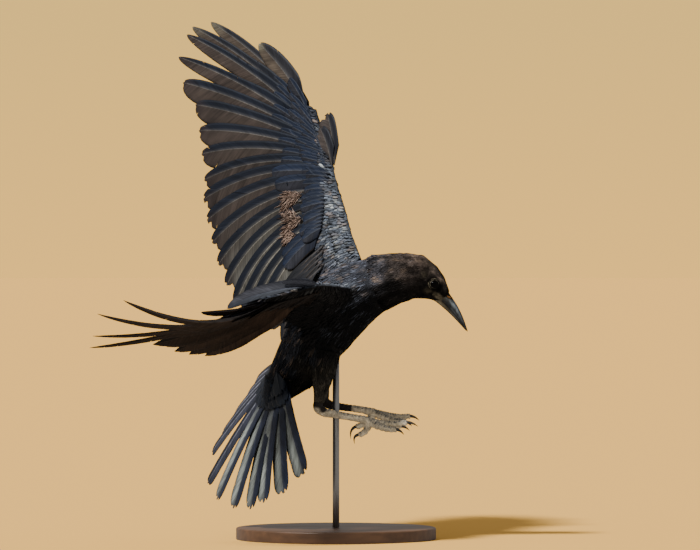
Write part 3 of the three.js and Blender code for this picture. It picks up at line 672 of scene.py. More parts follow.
@dataclass
class Wing:
    """One wing's flight feathers and the larger coverts that lie over and under their bases."""

    sizes: Side
    seed: int

    def __post_init__(self) -> None:
        """Works out the wing's joints and directions."""
        self.upper = unit(np.array(self.sizes.upper, float))
        self.wrist, self.elbow, self.fingertip = (
            np.array(joint, float) for joint in (self.sizes.wrist, self.sizes.elbow, self.sizes.fingertip))
        hand = self.fingertip - self.wrist
        self.out = unit(hand - hand.dot(self.upper) * self.upper)
        self.back = np.cross(self.out, self.upper) * -self.sizes.side
        self.flip = -self.sizes.side
        self.spread = self.sizes.side > 0
        self.rng = np.random.default_rng(self.seed)

    def shaft(self, row: Row, i: int, root: np.ndarray) -> Bow:
        """The centre line of feather i of a row, whose root is given.

        Args:
            row: The row of feathers.
            i: Number of the feather in the row.
            root: Where it starts.

        Returns:
            The centre line.
        """
        sweep, lift = math.radians(row.sweep[i]), math.radians(row.lift[i])
        flat = self.out * math.cos(sweep) + self.back * math.sin(sweep)
        ahead = flat * math.cos(lift) + self.upper * math.sin(lift)
        outward = self.out * math.sin(sweep) - self.back * math.cos(sweep)
        return bowed(root, root + ahead * row.length[i], outward * row.bow[i] + self.upper * row.arch[i])

    def primary_shafts(self) -> list[Bow]:
        """The shafts of the primaries, from the innermost to the outermost.

        Returns:
            One curve for each feather.
        """
        row, hand = self.sizes.primaries, self.fingertip - self.wrist
        last = len(row.length) - 1
        return [self.shaft(row, i, self.wrist + hand * (WRIST_GAP + (1 - WRIST_GAP) * i / last)
                           + self.back * QUILL_BACK["primary"]) for i in range(last + 1)]

    def secondary_shafts(self) -> list[Bow]:
        """The shafts of the secondaries, from the wrist to the elbow.

        Returns:
            One curve for each feather.
        """
        row, arm = self.sizes.secondaries, self.elbow - self.wrist
        count = len(row.length)
        step = self.back * QUILL_BACK["secondary"] + self.upper * SECONDARY_STEP
        return [self.shaft(row, i, self.wrist + arm * (i + 0.5) / count + step) for i in range(count)]

    def tertial_shafts(self) -> list[Bow]:
        """The shafts of the tertials, from the elbow to the body.

        Returns:
            One curve for each feather.
        """
        row, spread = self.sizes.tertials, np.array(self.sizes.tertial_spread, float)
        root = np.array(self.sizes.tertial_root, float)
        step = self.upper * TERTIAL_STEP
        return [self.shaft(row, i, root + spread * i + step) for i in range(len(row.length))]

    def row_piece(self, kind: str,
                  feathers: Sequence[tuple[Bow, Vane, Plume, np.ndarray]]) -> bpy.types.Object:
        """Builds a row of feathers as one mesh.

        Args:
            kind: The kind of feather, for the piece's name.
            feathers: The centre line, the shape, the colours and the way the upper side faces, of each.

        Returns:
            The object.
        """
        shells = Shells()
        maker = FeatherMaker(shells, self.rng, len(feathers))
        for shaft, vane, plume, upper in feathers:
            maker.feather(shaft, upper, vane, plume, self.flip)
        return shells.mesh(f"wing_{self.sizes.name}_{kind}_feathers")

    def fanned(self, share: float) -> np.ndarray:
        """The way a feather of the half-closed fan faces, turned a share of the whole turn."""
        return unit(self.upper + np.array(self.sizes.fan_turn) * share)

    def primary_vane(self, i: int, last: int) -> Vane:
        """The shape of primary i: the outer ones are slotted, and the right wing's inner ones half folded.

        Args:
            i: Number of the primary.
            last: Number of the outermost one.

        Returns:
            Its shape.
        """
        if i == last:
            return PRIMARY_LAST if self.spread else FOLDED_LAST
        if i in SLOTTED:
            return PRIMARY if self.spread else PRIMARY_THIN
        if self.spread:
            return PRIMARY_INNER
        return replace(PRIMARY_INNER, width=PRIMARY_INNER.width * self.sizes.fan_width * FOLDED_WIDER,
                       **FOLDED_PRIMARY)

    def primaries(self) -> bpy.types.Object:
        """The ten primaries, the outer ones slotted into fingers and paler at their tips.

        Returns:
            The piece.
        """
        shafts = self.primary_shafts()
        return self.row_piece("primary", [
            (shaft, self.primary_vane(i, len(shafts) - 1),
             mixed(INNER_PRIMARY, OUTER_PRIMARY, smoothstep(i, *PALE_FINGERS)),
             self.fanned(smoothstep(i, *FAN_FROM_TO))) for i, shaft in enumerate(shafts)])

    def secondaries(self) -> bpy.types.Object:
        """The nine secondaries, whose inner vanes take a painted silvery sheen towards the body where the
        wing is spread.

        Returns:
            The piece.
        """
        shafts = self.secondary_shafts()
        last = len(shafts) - 1
        vane = SECONDARY if self.spread else replace(SECONDARY, width=SECONDARY.width * self.sizes.fan_width,
                                                     **FOLDED_SECONDARY)
        sheen_shares = [smoothstep(i / last, *SHEEN_FROM_TO) if self.spread else 0.0 for i in range(last + 1)]
        plumes = [mixed(INNER_PRIMARY, SILVER_SHEEN, share) for share in sheen_shares]
        return self.row_piece("secondary", [(shaft, vane, plume, self.fanned(1.0))
                                            for shaft, plume in zip(shafts, plumes)])

    def tertials(self) -> bpy.types.Object:
        """The three tertials and the long scapulars over them.

        Returns:
            The piece.
        """
        shafts = self.tertial_shafts()
        upper = unit(np.array(self.sizes.tertial_upper, float))
        vane = replace(TERTIAL, width=self.sizes.tertial_width)
        feathers = []
        for k, place in enumerate(np.linspace(0, len(shafts) - 1, self.sizes.tertial_count)):
            low = min(int(place), len(shafts) - 2)
            curve = shafts[low].toward(shafts[low + 1], float(place) - low)
            curve = curve.part(0.0, 1.0 - TERTIAL_CUTS[k % len(TERTIAL_CUTS)], upper * (TERTIAL_LAYER * k))
            feathers.append((curve, vane, DUSK if self.spread else SLATE_SHEEN, upper))
        return self.row_piece("tertial", feathers)

    def alula(self) -> bpy.types.Object:
        """The thumb's feathers.

        Returns:
            The piece.
        """
        row, root = self.sizes.alula, np.array(self.sizes.alula_root, float)
        vane = replace(ALULA, width=self.sizes.thumb_width)
        shafts = [self.shaft(row, i, root + self.back * ALULA_SPACING * i) for i in range(len(row.length))]
        return self.row_piece("alula", [(shaft, vane, THUMB, self.upper) for shaft in shafts])

    def coverts(self, over: bool) -> bpy.types.Object:
        """The greater and median coverts of one side of the wing.

        Args:
            over: True for the upper side of the wing, and False for the under side.

        Returns:
            The object.
        """
        face = self.upper * (1.0 if over else -1.0)
        main, second = self.primary_shafts(), self.secondary_shafts()
        feathers = [(shaft.part(0.0, 0.36 if shaft is not main[-1] else 0.5, face * 2.3), PRIMARY_COVERT)
                    for shaft in main]
        feathers += [(shaft.part(0.0, 0.44, face * 2.6), SECONDARY_COVERT) for i, shaft in enumerate(second)
                     if not over or i not in self.sizes.moulted]
        rows = ((main, 0.2, 3.6, 12), (main, 0.11, 4.6, 10), (second, 0.165 if over else 0.3, 4.2, 15))
        for row, reach, lift, width in rows:
            feathers += [(a.toward(b, share).part(-0.03, reach, face * lift), replace(MEDIAN, width=width))
                         for a, b in zip(row, row[1:]) for share in (0.0, 0.5)]
        shells = Shells()
        maker = FeatherMaker(shells, self.rng, len(feathers))
        plume, flip = (COVERT, self.flip) if over else (UNDER_COVERT, -self.flip)
        for shaft, vane in feathers:
            jitter = self.rng.normal(0, COVERT_SHIFT, 3)
            shaft = shaft.part(0.0, self.rng.uniform(*COVERT_LENGTHS), np.zeros(3))
            bent = Bow(shaft.root, shaft.control + jitter * 0.5, shaft.tip + jitter)
            maker.feather(bent, face, vane, plume, flip)
        return shells.mesh(f"wing_{self.sizes.name}_{'upper' if over else 'under'}_coverts")

    def build(self) -> list[bpy.types.Object]:
        """Makes the wing's rows of feathers and its coverts.

        Returns:
            The pieces.
        """
        rows = (("primaries", self.primaries), ("secondaries", self.secondaries), ("tertials", self.tertials),
                ("alula", self.alula))
        pieces = [hand_over(make(), VANES, "flight_feathers", f"wing_{self.sizes.name}_{node}")
                  for node, make in rows]
        return pieces + [hand_over(self.coverts(over), VANES, "plumage") for over in (True, False)]


def mixed(a: Plume, b: Plume, share: float) -> Plume:
    """The colours a share of the way between two kinds of feather."""
    return Plume(**{k: tuple(between(getattr(a, k), getattr(b, k), share).tolist())
                    for k in a.__dataclass_fields__})


INNER_PRIMARY = Plume()
OUTER_PRIMARY = Plume(outer=linear(27, 27, 31), inner=linear(60, 52, 46), glow=linear(74, 66, 57),
                      tip=linear(116, 112, 95), under_outer=linear(78, 76, 80),
                      under_inner=linear(52, 41, 33))
# Secondaries near the body: their silvery inner vanes are painted sheen of light on the gloss.
SILVER_SHEEN = Plume(outer=linear(11, 15, 25), inner=linear(54, 52, 48), glow=linear(92, 91, 86),
               tip=linear(42, 35, 34), shaft=linear(132, 128, 118))
# The right wing's tertials, whose blue grey stands for a painted sheen of light on their upper sides.
SLATE_SHEEN = Plume(outer=linear(22, 24, 31), inner=linear(34, 34, 40), glow=linear(52, 53, 60),
              tip=linear(30, 32, 42), shaft=linear(52, 56, 68), under_outer=linear(34, 38, 50),
              under_inner=linear(44, 48, 60))
DUSK = Plume(outer=linear(20, 20, 23), inner=linear(34, 30, 28), glow=linear(62, 54, 47),
             tip=linear(28, 24, 22), shaft=linear(60, 54, 50))
THUMB = Plume(outer=linear(22, 23, 29), inner=linear(54, 48, 46), glow=linear(62, 56, 53),
              tip=linear(44, 40, 40), under_outer=linear(66, 72, 88), under_inner=linear(84, 90, 106),
              under_shaft=linear(96, 100, 112))
COVERT = Plume(outer=linear(17, 24, 40), inner=linear(30, 30, 36), glow=linear(42, 43, 50),
               tip=linear(24, 28, 38), shaft=linear(74, 76, 82))
UNDER_COVERT = Plume(outer=linear(20, 15, 12), inner=linear(24, 18, 14), glow=linear(36, 26, 20),
                     tip=linear(26, 19, 15), shaft=linear(40, 30, 23), under_outer=linear(20, 15, 12),
                     under_inner=linear(24, 18, 14))


# ---- Tail --------------------------------------------------------------------------------------------------
TAIL_OPEN = Vane(width=32, outer_share=0.4, tip_from=0.88, tip_round=2.3, splits=5, tip_fray=0.22, fray=0.02,
                 rows=64, camber=0.05, speckle=0.16)
TAIL_CLOSED = replace(TAIL_OPEN, width=19, tip_from=0.92, tip_round=2.6, tip_fray=0.2, speckle=0.08)
TAIL_SHORT = replace(GREATER, width=25, outer_share=0.46, tip_fray=0.03, splits=0, tilt=1.5, camber=0.1)


@dataclass
class Tail:
    """The fan of twelve tail feathers, from the right outermost to the left outermost, and its coverts."""

    seed: int = 41
    root: Vec3 = (-67, 12, 203)
    spread: float = 26
    arch: float = 3
    right_side: Vec3 = (-0.006, -0.963, -0.272)
    back: Vec3 = (-0.797, -0.16, 0.583)
    length: Sequence[float] = (162, 167, 170, 174, 176, 178, 180, 178, 176, 173, 169, 167)
    direction: Sequence[Vec3] = (
        (0.18, -0.63, -0.75), (0.03, -0.49, -0.87), (-0.11, -0.36, -0.92), (-0.2, -0.22, -0.95),
        (-0.32, -0.06, -0.95), (-0.43, 0.16, -0.88), (-0.5, 0.39, -0.78), (-0.48, 0.66, -0.58),
        (-0.42, 0.79, -0.46), (-0.34, 0.88, -0.33), (-0.26, 0.94, -0.21), (-0.2, 0.97, -0.11))
    layers: Sequence[tuple[int, float, float]] = (
        (1, 0.3, 2.4), (-1, 0.3, 2.2), (1, 0.21, 4.2), (-1, 0.21, 4.0))

    def shafts(self) -> list[tuple[Bow, np.ndarray, int]]:
        """The shaft, the upper side and the flip of each feather.

        Returns:
            One entry for each feather.
        """
        root, across = np.array(self.root, float), unit(np.array(self.right_side))
        aims, count, out = unit(np.array(self.direction)), len(self.length), []
        for i, aim in enumerate(aims):
            upper = unit(np.cross(aims[min(count - 1, i + 1)] - aims[max(0, i - 1)], aim))
            upper = -upper if upper.dot(np.array(self.back)) < 0 else upper
            start = root + across * (1 - 2 * i / (count - 1)) * self.spread
            flip = 1 if i < count / 2 else -1
            out.append((bowed(start, root + aim * self.length[i], upper * self.arch), upper, flip))
        return out

    def build(self) -> list[bpy.types.Object]:
        """Makes the right half, the left half and the layers of long coverts over and under their bases.

        Returns:
            The pieces.
        """
        rng = np.random.default_rng(self.seed)
        every = self.shafts()
        half = len(every) // 2
        pieces = []
        for name, part, vane, plume in (("right", every[:half], TAIL_OPEN, TAIL_RIGHT),
                                        ("left", every[half:], TAIL_CLOSED, TAIL_LEFT)):
            shells = Shells()
            maker = FeatherMaker(shells, rng, half)
            for curve, upper, flip in part:
                maker.feather(curve, upper, vane, plume, flip)
            pieces.append(hand_over(shells.mesh(f"tail_{name}_feathers"), VANES, "flight_feathers",
                                    f"tail_{name}"))
        shells = Shells()
        maker = FeatherMaker(shells, rng, len(self.layers) * len(every))
        for sign, reach, lift in self.layers:
            for curve, upper, flip in every:
                short = curve.part(-0.04, reach * rng.uniform(0.95, 1.05), upper * sign * lift)
                maker.feather(short, upper * sign, TAIL_SHORT, TAIL_COVERT, flip * sign)
        return [*pieces, hand_over(shells.mesh("tail_covert_feathers"), VANES, "plumage")]


# The open right half of the tail: its silvery grey-green inner vanes are painted sheen of light on the gloss.
TAIL_RIGHT = Plume(outer=linear(20, 25, 40), inner=linear(82, 86, 86), glow=linear(134, 141, 137),
                   tip=linear(52, 54, 58), shaft=linear(84, 86, 90), under_outer=linear(22, 24, 30),
                   under_inner=linear(40, 40, 42))
TAIL_LEFT = Plume(outer=linear(24, 26, 36), inner=linear(34, 36, 47), glow=linear(50, 53, 67),
                  tip=linear(26, 27, 35), shaft=linear(126, 128, 142), under_outer=linear(26, 27, 34),
                  under_inner=linear(38, 38, 44))
TAIL_COVERT = Plume(outer=linear(10, 16, 26), inner=linear(10, 16, 25), glow=linear(13, 20, 32),
                    tip=linear(10, 16, 25), shaft=linear(11, 17, 26), under_outer=linear(9, 13, 21),
                    under_inner=linear(9, 13, 21), under_shaft=linear(10, 14, 22))


# ---- Skin --------------------------------------------------------------------------------------------------
class Region(Enum):
    """The parts of the coat, each made as a mesh of its own."""

    HEAD = 0
    NECK = 1
    TRUNK = 2
    RUMP = 3
    THIGHS = 4
    WING_LEFT = 5
    WING_RIGHT = 6


@dataclass(frozen=True)
class Lie:
    """How the coat lies round one place: its way, its feathers' sizes, and its colours on both sides: painted
    light on the side that faces up, painted shade on the under side, a painted glint, and the share of
    feathers that take the glint (mottle).
    """

    at: np.ndarray
    way: np.ndarray
    up: np.ndarray
    length: float
    width: float
    depth: float
    rise: float
    over: Colour
    under: Colour
    glint: Colour
    mottle: float
    region: Region
    clad: float = 1.0


BLENDED = ("way", "up", "length", "width", "depth", "rise", "over", "under", "glint", "mottle", "clad")


FLESH_NODES = ("trunk", "neck", "head", "tail_coverts", "wing_left_arm", "wing_left_hand", "wing_right_arm",
               "wing_right_hand", "leg_left_thigh", "leg_right_thigh")
BACK = unit(np.array((-0.797, -0.16, 0.583)))
CROWN = unit(np.array((0.2, 0, 1.0)))
DOWN_THE_BODY = np.array((-0.6, 0.0, -0.8))
BLACK = linear(8, 8, 10)
HEAD_TONE = linear(48, 43, 40)
# The pinkish glint on the head's feathers: painted highlight.
HEAD_GLINT = linear(88, 76, 68)
NECK_TONE = linear(53, 48, 46)
# The back's slate blue: painted light and sheen on the side that faces up.
MANTLE_LIT = linear(57, 60, 69)
MANTLE_GLINT = linear(112, 120, 140)
RUMP = linear(15, 19, 28)
TAIL_LOBE = linear(17, 25, 38)
# The lesser coverts' silvery blue: painted sheen of light on the gloss.
LESSER_SHEEN = linear(84, 91, 102)
LESSER_GLINT = linear(156, 162, 164)
HIND_COVERT = linear(24, 28, 39)
# The wings' under sides: their own black, darkened further as painted shade under the wing.
UNDERWING = linear(11, 9, 9)
UNDERWING_GLINT = linear(38, 29, 24)
SHIN = linear(70, 66, 58)
WARM = linear(112, 97, 84)
GAPE_TONE = linear(122, 113, 94)


@dataclass(frozen=True)
class Mark:
    """A patch of the coat with a colour laid over it, on both sides of the head."""

    at: Vec3
    radius: float
    colour: Colour
    strength: float


HEAD_MIDDLE = -20.0
HEAD_FROM = (62.0, 80.0)
MARKS = (
    # The first two, pale on the crown, are painted highlight where light falls on the top of the head.
    Mark((98, 12, 331), 17, linear(84, 72, 65), 0.55),
    Mark((113, 9, 328), 8, linear(74, 66, 56), 0.5),
    Mark((129, 5, 314), 11, linear(15, 14, 14), 0.9),
    Mark((126, 14, 304), 4.5, linear(9, 9, 9), 1.0),
    Mark((92, 22, 302), 12, linear(22, 20, 19), 0.75),
    Mark((104, 14, 289), 11, linear(13, 12, 12), 0.85),
    Mark((106, 17.5, 317), 3.4, linear(150, 140, 116), 0.75),
    Mark((102.5, 16, 320.5), 2.6, linear(140, 130, 108), 0.6),
    Mark((112, 18, 296), 4.5, linear(96, 88, 72), 0.7),
    Mark((84, 24, 318), 7, linear(76, 66, 60), 0.5),
)


@dataclass(frozen=True)
class Section:
    """One section of the body: its middle, half width, and half height over and under."""

    at: Vec3
    wide: float
    over: float
    under: float


TRUNK = (
    Section((-75, 17, 163), 14, 10, 9), Section((-65, 15, 183), 30, 23, 23),
    Section((-50, 11, 203), 37, 31, 33), Section((-29, 5, 234), 44, 38, 38),
    Section((-11, 0, 262), 47, 43, 43), Section((14, -8, 289), 45, 43, 43),
    Section((31, -13, 299), 40, 39, 40), Section((45, -17, 305), 34, 35, 36))
NECK = (
    Section((57, -19, 309), 31, 34, 34), Section((72, -20, 313), 29, 31, 31),
    Section((86, -20, 315), 26, 28, 29))
HEAD = (
    Section((100, -20, 314.4), 23.5, 27, 27), Section((112, -20, 309), 20.5, 20.5, 24),
    Section((120.5, -20, 303), 17.5, 15, 20), Section((127, -20, 296), 13.5, 9.6, 15),
    Section((132, -20, 288.5), 9, 6.8, 9))
MANTLE_FROM = 3
HEAD_DEPTH = -0.35
WING_DEPTH = 1.3
THIGHS = {
    "right": ((-12, -24, 226, 21), (-15, -28, 203, 17), (-18, -30, 180, 11), (-20, -30, 163, 7.5)),
    "left": ((-16, 28, 232, 21), (-17, 26, 208, 17), (-17, 22, 186, 11), (-15, 18, 170, 7.5)),
}


def mirrored(points: np.ndarray) -> np.ndarray:
    """Places on the head with Y as the distance from its middle plane."""
    return np.stack([points[:, 0], np.abs(points[:, 1] - HEAD_MIDDLE), points[:, 2]], 1)


@dataclass
class LieField:
    """The lie of the coat over the whole bird, blended between places with a known lie."""

    lies: list[Lie] = field(default_factory=list)
    soft: float = 5.0
    fall_off: float = 2.5
    droop: float = 0.2
    round_body: int = 8
    round_thigh: int = 6
    chord_places: Sequence[float] = (0.03, 0.25, 0.55, 0.9)
    wing_half: float = 5.0
    outwards: float = 0.35
    hand_light: float = 0.25

    def __post_init__(self) -> None:
        """Sets the known lies round the body, the wings and the thighs."""
        self.body(TRUNK + NECK + HEAD)
        self.wing(LEFT, Region.WING_LEFT)
        self.wing(RIGHT, Region.WING_RIGHT)
        for stations in THIGHS.values():
            self.thigh(stations)
        self.at = np.array([lie.at for lie in self.lies])

    def body(self, sections: Sequence[Section]) -> None:
        """Sets lies round each section from the rump to the forehead, all running back to the tail.

        Args:
            sections: Sections of the flesh, in that order.
        """
        middles = np.array([s.at for s in sections], float)
        trunk, neck = len(TRUNK), len(NECK)
        for i, section in enumerate(sections):
            way = unit(middles[max(0, i - 1)] - middles[min(len(sections) - 1, i + 1)])
            up = unit(BACK - BACK.dot(way) * way) if i <= trunk else CROWN
            across = np.cross(way, up)
            if i < trunk:
                look = self.trunk_look(i)
            elif i < trunk + neck:
                look = self.neck_look((i - trunk) / neck)
            else:
                look = self.head_look((i - trunk - neck) / (len(HEAD) - 1))
            for turn in np.arange(self.round_body) * math.pi / (self.round_body / 2):
                high = section.over if math.sin(turn) > 0 else section.under
                spot = middles[i] + across * math.cos(turn) * section.wide + up * math.sin(turn) * high
                self.lies.append(Lie(at=spot, way=way, up=up, **look))

    def trunk_look(self, i: int) -> dict:
        """The sizes and colours of the coat at section i of the trunk.

        Args:
            i: Number of the section.

        Returns:
            Values of a lie, by name.
        """
        front = smoothstep(i, 1.5, 4.5)
        ahead = max(0, i - MANTLE_FROM) / 4
        # Over the trunk, the slate blue of the back is painted light and sheen, and the black under side
        # holds painted shade.
        return dict(length=12.0 - 4.0 * ahead, width=3.3 - 1.4 * ahead, depth=2.4, rise=3,
                    over=between(RUMP, MANTLE_LIT, front), under=BLACK,
                    glint=between(linear(28, 36, 50), MANTLE_GLINT, front), mottle=0.08,
                    region=Region.TRUNK if i >= MANTLE_FROM else Region.RUMP)

    def neck_look(self, share: float) -> dict:
        """The sizes and colours of the coat a share of the way up the neck.

        Args:
            share: How far up the neck, 0 to 1.

        Returns:
            Values of a lie, by name.
        """
        over = between(MANTLE_LIT, NECK_TONE, 0.4 + 0.6 * min(1.0, 3 * share))
        return dict(length=6.4 - 2.4 * share, width=1.9 - 0.4 * share, depth=HEAD_DEPTH, rise=2.5, over=over,
                    under=linear(19, 18, 18), glint=linear(82, 76, 76), mottle=0.07, region=Region.NECK)

    def head_look(self, share: float) -> dict:
        """The sizes and colours of the coat a share of the way from the nape to the bill.

        Args:
            share: How far along the head, 0 to 1.

        Returns:
            Values of a lie, by name.
        """
        return dict(length=3.4 - 0.9 * share, width=1.2 - 0.2 * share, depth=HEAD_DEPTH, rise=1.5,
                    over=HEAD_TONE, under=linear(19, 17, 16), glint=HEAD_GLINT, mottle=0.03,
                    region=Region.HEAD)

    def wing(self, wing: Side, region: Region) -> None:
        """Sets lies over both faces of a wing's flesh, running back and a little outwards.

        Args:
            wing: The wing and its flesh.
            region: Part of the bird that the lies are on.
        """
        upper = unit(np.array(wing.upper, float))
        hand = unit(np.array(wing.fingertip, float) - np.array(wing.wrist, float))
        for plate, behind, lit in ((wing.arm, 1.0, 1.0), (wing.hand, 0.0, self.hand_light)):
            for lead, chord in plate:
                run = np.array(chord, float)
                way = unit(unit(run) + self.outwards * hand)
                for share in self.chord_places:
                    # The silvery blue near the leading edge is painted sheen, full on the arm and weaker on
                    # the hand.
                    bright = lit * float(1 - smoothstep(share, 0.12, 0.7))
                    for face in (1, -1):
                        glint = LESSER_GLINT if face > 0 and share < 0.5 else UNDERWING_GLINT
                        self.lies.append(Lie(
                            at=np.array(lead, float) + run * share + upper * face * self.wing_half,
                            way=way, up=upper, length=8.0 + 7.0 * share, width=3.6 + 4.4 * share,
                            depth=WING_DEPTH, rise=2.5, over=between(HIND_COVERT, LESSER_SHEEN, bright),
                            under=UNDERWING, glint=glint, mottle=0.16 * bright + 0.04, region=region,
                            clad=behind if share > 0.5 else 1.0))

    def thigh(self, stations: Sequence[tuple[float, float, float, float]]) -> None:
        """Sets lies round a thigh, running down it to smaller and browner feathers.

        Args:
            stations: Stations down the thigh, each x, y, z and radius.
        """
        middles = np.array([s[:3] for s in stations], float)
        for i, station in enumerate(stations):
            way = unit(middles[min(len(stations) - 1, i + 1)] - middles[max(0, i - 1)])
            low = i / (len(stations) - 1)
            tone = between(BLACK, SHIN, low)
            for turn in np.arange(self.round_thigh) * math.pi / (self.round_thigh / 2):
                spot = middles[i] + np.array((math.cos(turn), math.sin(turn), 0)) * station[3]
                self.lies.append(Lie(at=spot, way=way, up=np.array((0, 0, 1.0)), length=11 - 7.6 * low,
                                     width=3.4 - 1.9 * low, depth=2.6 - 1.5 * low, rise=4, over=tone,
                                     under=tone, glint=linear(112, 106, 94), mottle=0.04 + 0.3 * low,
                                     region=Region.THIGHS))

    def blend(self, points: np.ndarray, normals: np.ndarray) -> dict[str, np.ndarray]:
        """Blends the known lies at many places.

        Args:
            points: The places, in millimetres.
            normals: The skin's outward directions there.

        Returns:
            Every value of a lie at each place, with its tone, its region, how far the place faces up, from
            the painted shade of the coat's under side to its painted light (facing), and how well the lies
            round it agree with its own slope (sure).
        """
        gaps = ((points[:, None, :] - self.at[None, :, :]) ** 2).sum(-1)
        weight = 1.0 / (gaps + self.soft**2) ** self.fall_off
        weight /= weight.sum(1, keepdims=True)
        out = {k: weight @ np.array([getattr(lie, k) for lie in self.lies], float) for k in BLENDED}
        out["facing"] = smoothstep((normals * unit(out["up"])).sum(1), -0.15, 0.45)
        facing = out["facing"][:, None]
        # Painted light and shade: the side that faces up takes the lighter over colour, and the under side
        # the darker under colour.
        out["tone"] = between(out["under"], out["over"], facing)
        # The painted glint is full where the coat faces up and a quarter of it on the under side.
        out["glint"] = between(out["tone"], out["glint"], 0.25 + 0.75 * facing)
        way = out["way"] + self.droop * DOWN_THE_BODY
        way = way - normals * (way * normals).sum(1, keepdims=True)
        out["sure"] = np.linalg.norm(way, axis=1)
        out["length"] = out["length"] * (0.45 + 0.55 * smoothstep(out["sure"], 0.25, 0.75))
        out["way"] = unit(way)
        out["tone"] = self.marked(points, out["tone"])
        regions = np.array([lie.region.value for lie in self.lies])
        votes = np.stack([weight[:, regions == r.value].sum(1) for r in Region], 1)
        out["region"] = votes.argmax(1)
        return out

    def marked(self, points: np.ndarray, tone: np.ndarray) -> np.ndarray:
        """The tones with the head's marks laid over them.

        Args:
            points: Places in millimetres, one row each.
            tone: Their colours.

        Returns:
            The colours with the marks.
        """
        ahead, spots = smoothstep(points[:, 0], *HEAD_FROM), mirrored(points)
        for mark in MARKS:
            gap = np.linalg.norm(spots - np.array(mark.at), axis=1) / mark.radius
            tone = between(tone, mark.colour, (mark.strength * np.exp(-gap**2) * ahead)[:, None])
        return tone


def loose_copy(nodes: Sequence[str]) -> tuple[list[tuple[float, float, float]], list[list[int]]]:
    """The points and faces of several solids, with the doubles of each merged.

    Args:
        nodes: Names of the solids.

    Returns:
        The points and the faces.
    """
    points, faces = [], []
    for node in nodes:
        shape = bmesh.new()
        shape.from_mesh(FRAME["nodes"][node].data)
        shape.transform(FRAME["nodes"][node].matrix_world)
        bmesh.ops.remove_doubles(shape, verts=shape.verts, dist=1e-6)
        shape.verts.ensure_lookup_table()
        start = len(points)
        points += [tuple(v.co) for v in shape.verts]
        faces += [[v.index + start for v in f.verts] for f in shape.faces]
        shape.free()
    return points, faces


def as_mesh(holder: bpy.types.Object, name: str) -> bpy.types.Mesh:
    """Applies an object's modifiers to a new plain mesh and removes the object.

    Args:
        holder: Object that has the modifiers.
        name: Name of the new mesh.

    Returns:
        The mesh.
    """
    graph = bpy.context.evaluated_depsgraph_get()
    mesh = bpy.data.meshes.new_from_object(holder.evaluated_get(graph))
    mesh.name = name
    bpy.data.objects.remove(holder)
    return mesh


def remeshed(name: str, points: list, faces: list, voxel: float, rounds: int) -> bpy.types.Mesh:
    """Melts overlapping or touching shells into one and smooths it.

    Args:
        name: The new mesh's name.
        points: Points in metres.
        faces: Faces as lists of point numbers.
        voxel: The grid's step, in metres.
        rounds: How many times the mesh is smoothed.

    Returns:
        A plain mesh.
    """
    rough = bpy.data.meshes.new(name + "_rough")
    rough.from_pydata(points, [], faces)
    holder = placed(name + "_rough", rough)
    melt = holder.modifiers.new("Melt", "REMESH")
    melt.mode, melt.voxel_size, melt.use_smooth_shade = "VOXEL", voxel, True
    even = holder.modifiers.new("Even", "SMOOTH")
    even.iterations, even.factor = rounds, 0.5
    return as_mesh(holder, name)


def softened(mesh: bpy.types.Mesh, start: float, end: float, rounds: int) -> None:
    """Smooths a mesh further, from nothing at start to the most at end along X.

    Args:
        mesh: Mesh to smooth.
        start: Where on X it starts.
        end: Where on X it is at its most.
        rounds: How often it is smoothed.
    """
    points = arrays_of(mesh)[0]
    edges = np.empty(len(mesh.edges) * 2, np.int32)
    mesh.edges.foreach_get("vertices", edges)
    a, b = edges.reshape(-1, 2).T
    size = len(points)
    near = (np.bincount(a, minlength=size) + np.bincount(b, minlength=size))[:, None]
    share = 0.5 * smoothstep(points[:, 0], start, end)[:, None]
    for _ in range(rounds):
        total = np.stack([np.bincount(a, points[b, k], size) + np.bincount(b, points[a, k], size)
                          for k in range(3)], 1)
        points = points + (total / near - points) * share
    move(mesh, points)


def arrays_of(mesh: bpy.types.Mesh) -> tuple[np.ndarray, np.ndarray]:
    """The points of a mesh in millimetres and its point normals.

    Args:
        mesh: Mesh to read.

    Returns:
        The points and the normals.
    """
    count = len(mesh.vertices)
    points, normals = np.empty(count * 3, np.float32), np.empty(count * 3, np.float32)
    mesh.vertices.foreach_get("co", points)
    mesh.vertex_normals.foreach_get("vector", normals)
    return points.reshape(-1, 3).astype(float) / MM, normals.reshape(-1, 3).astype(float)


GAPE = ((119, 13, 294), (135, 8, 282))
GAPE_FLAT = np.array((1, 0.35, 1))


def gape_gap(points: np.ndarray) -> np.ndarray:
    """How far places are from the bare skin between the eye and the bill, on either side of the head.

    Args:
        points: Places in millimetres, one row each.

    Returns:
        One distance for each place, in millimetres.
    """
    a, b = (np.array(p, float) for p in GAPE)
    spots, run = mirrored(points), b - a
    t = np.clip(((spots - a) @ run) / run.dot(run), 0, 1)
    return np.linalg.norm((spots - (a + t[:, None] * run)) * GAPE_FLAT, axis=1)


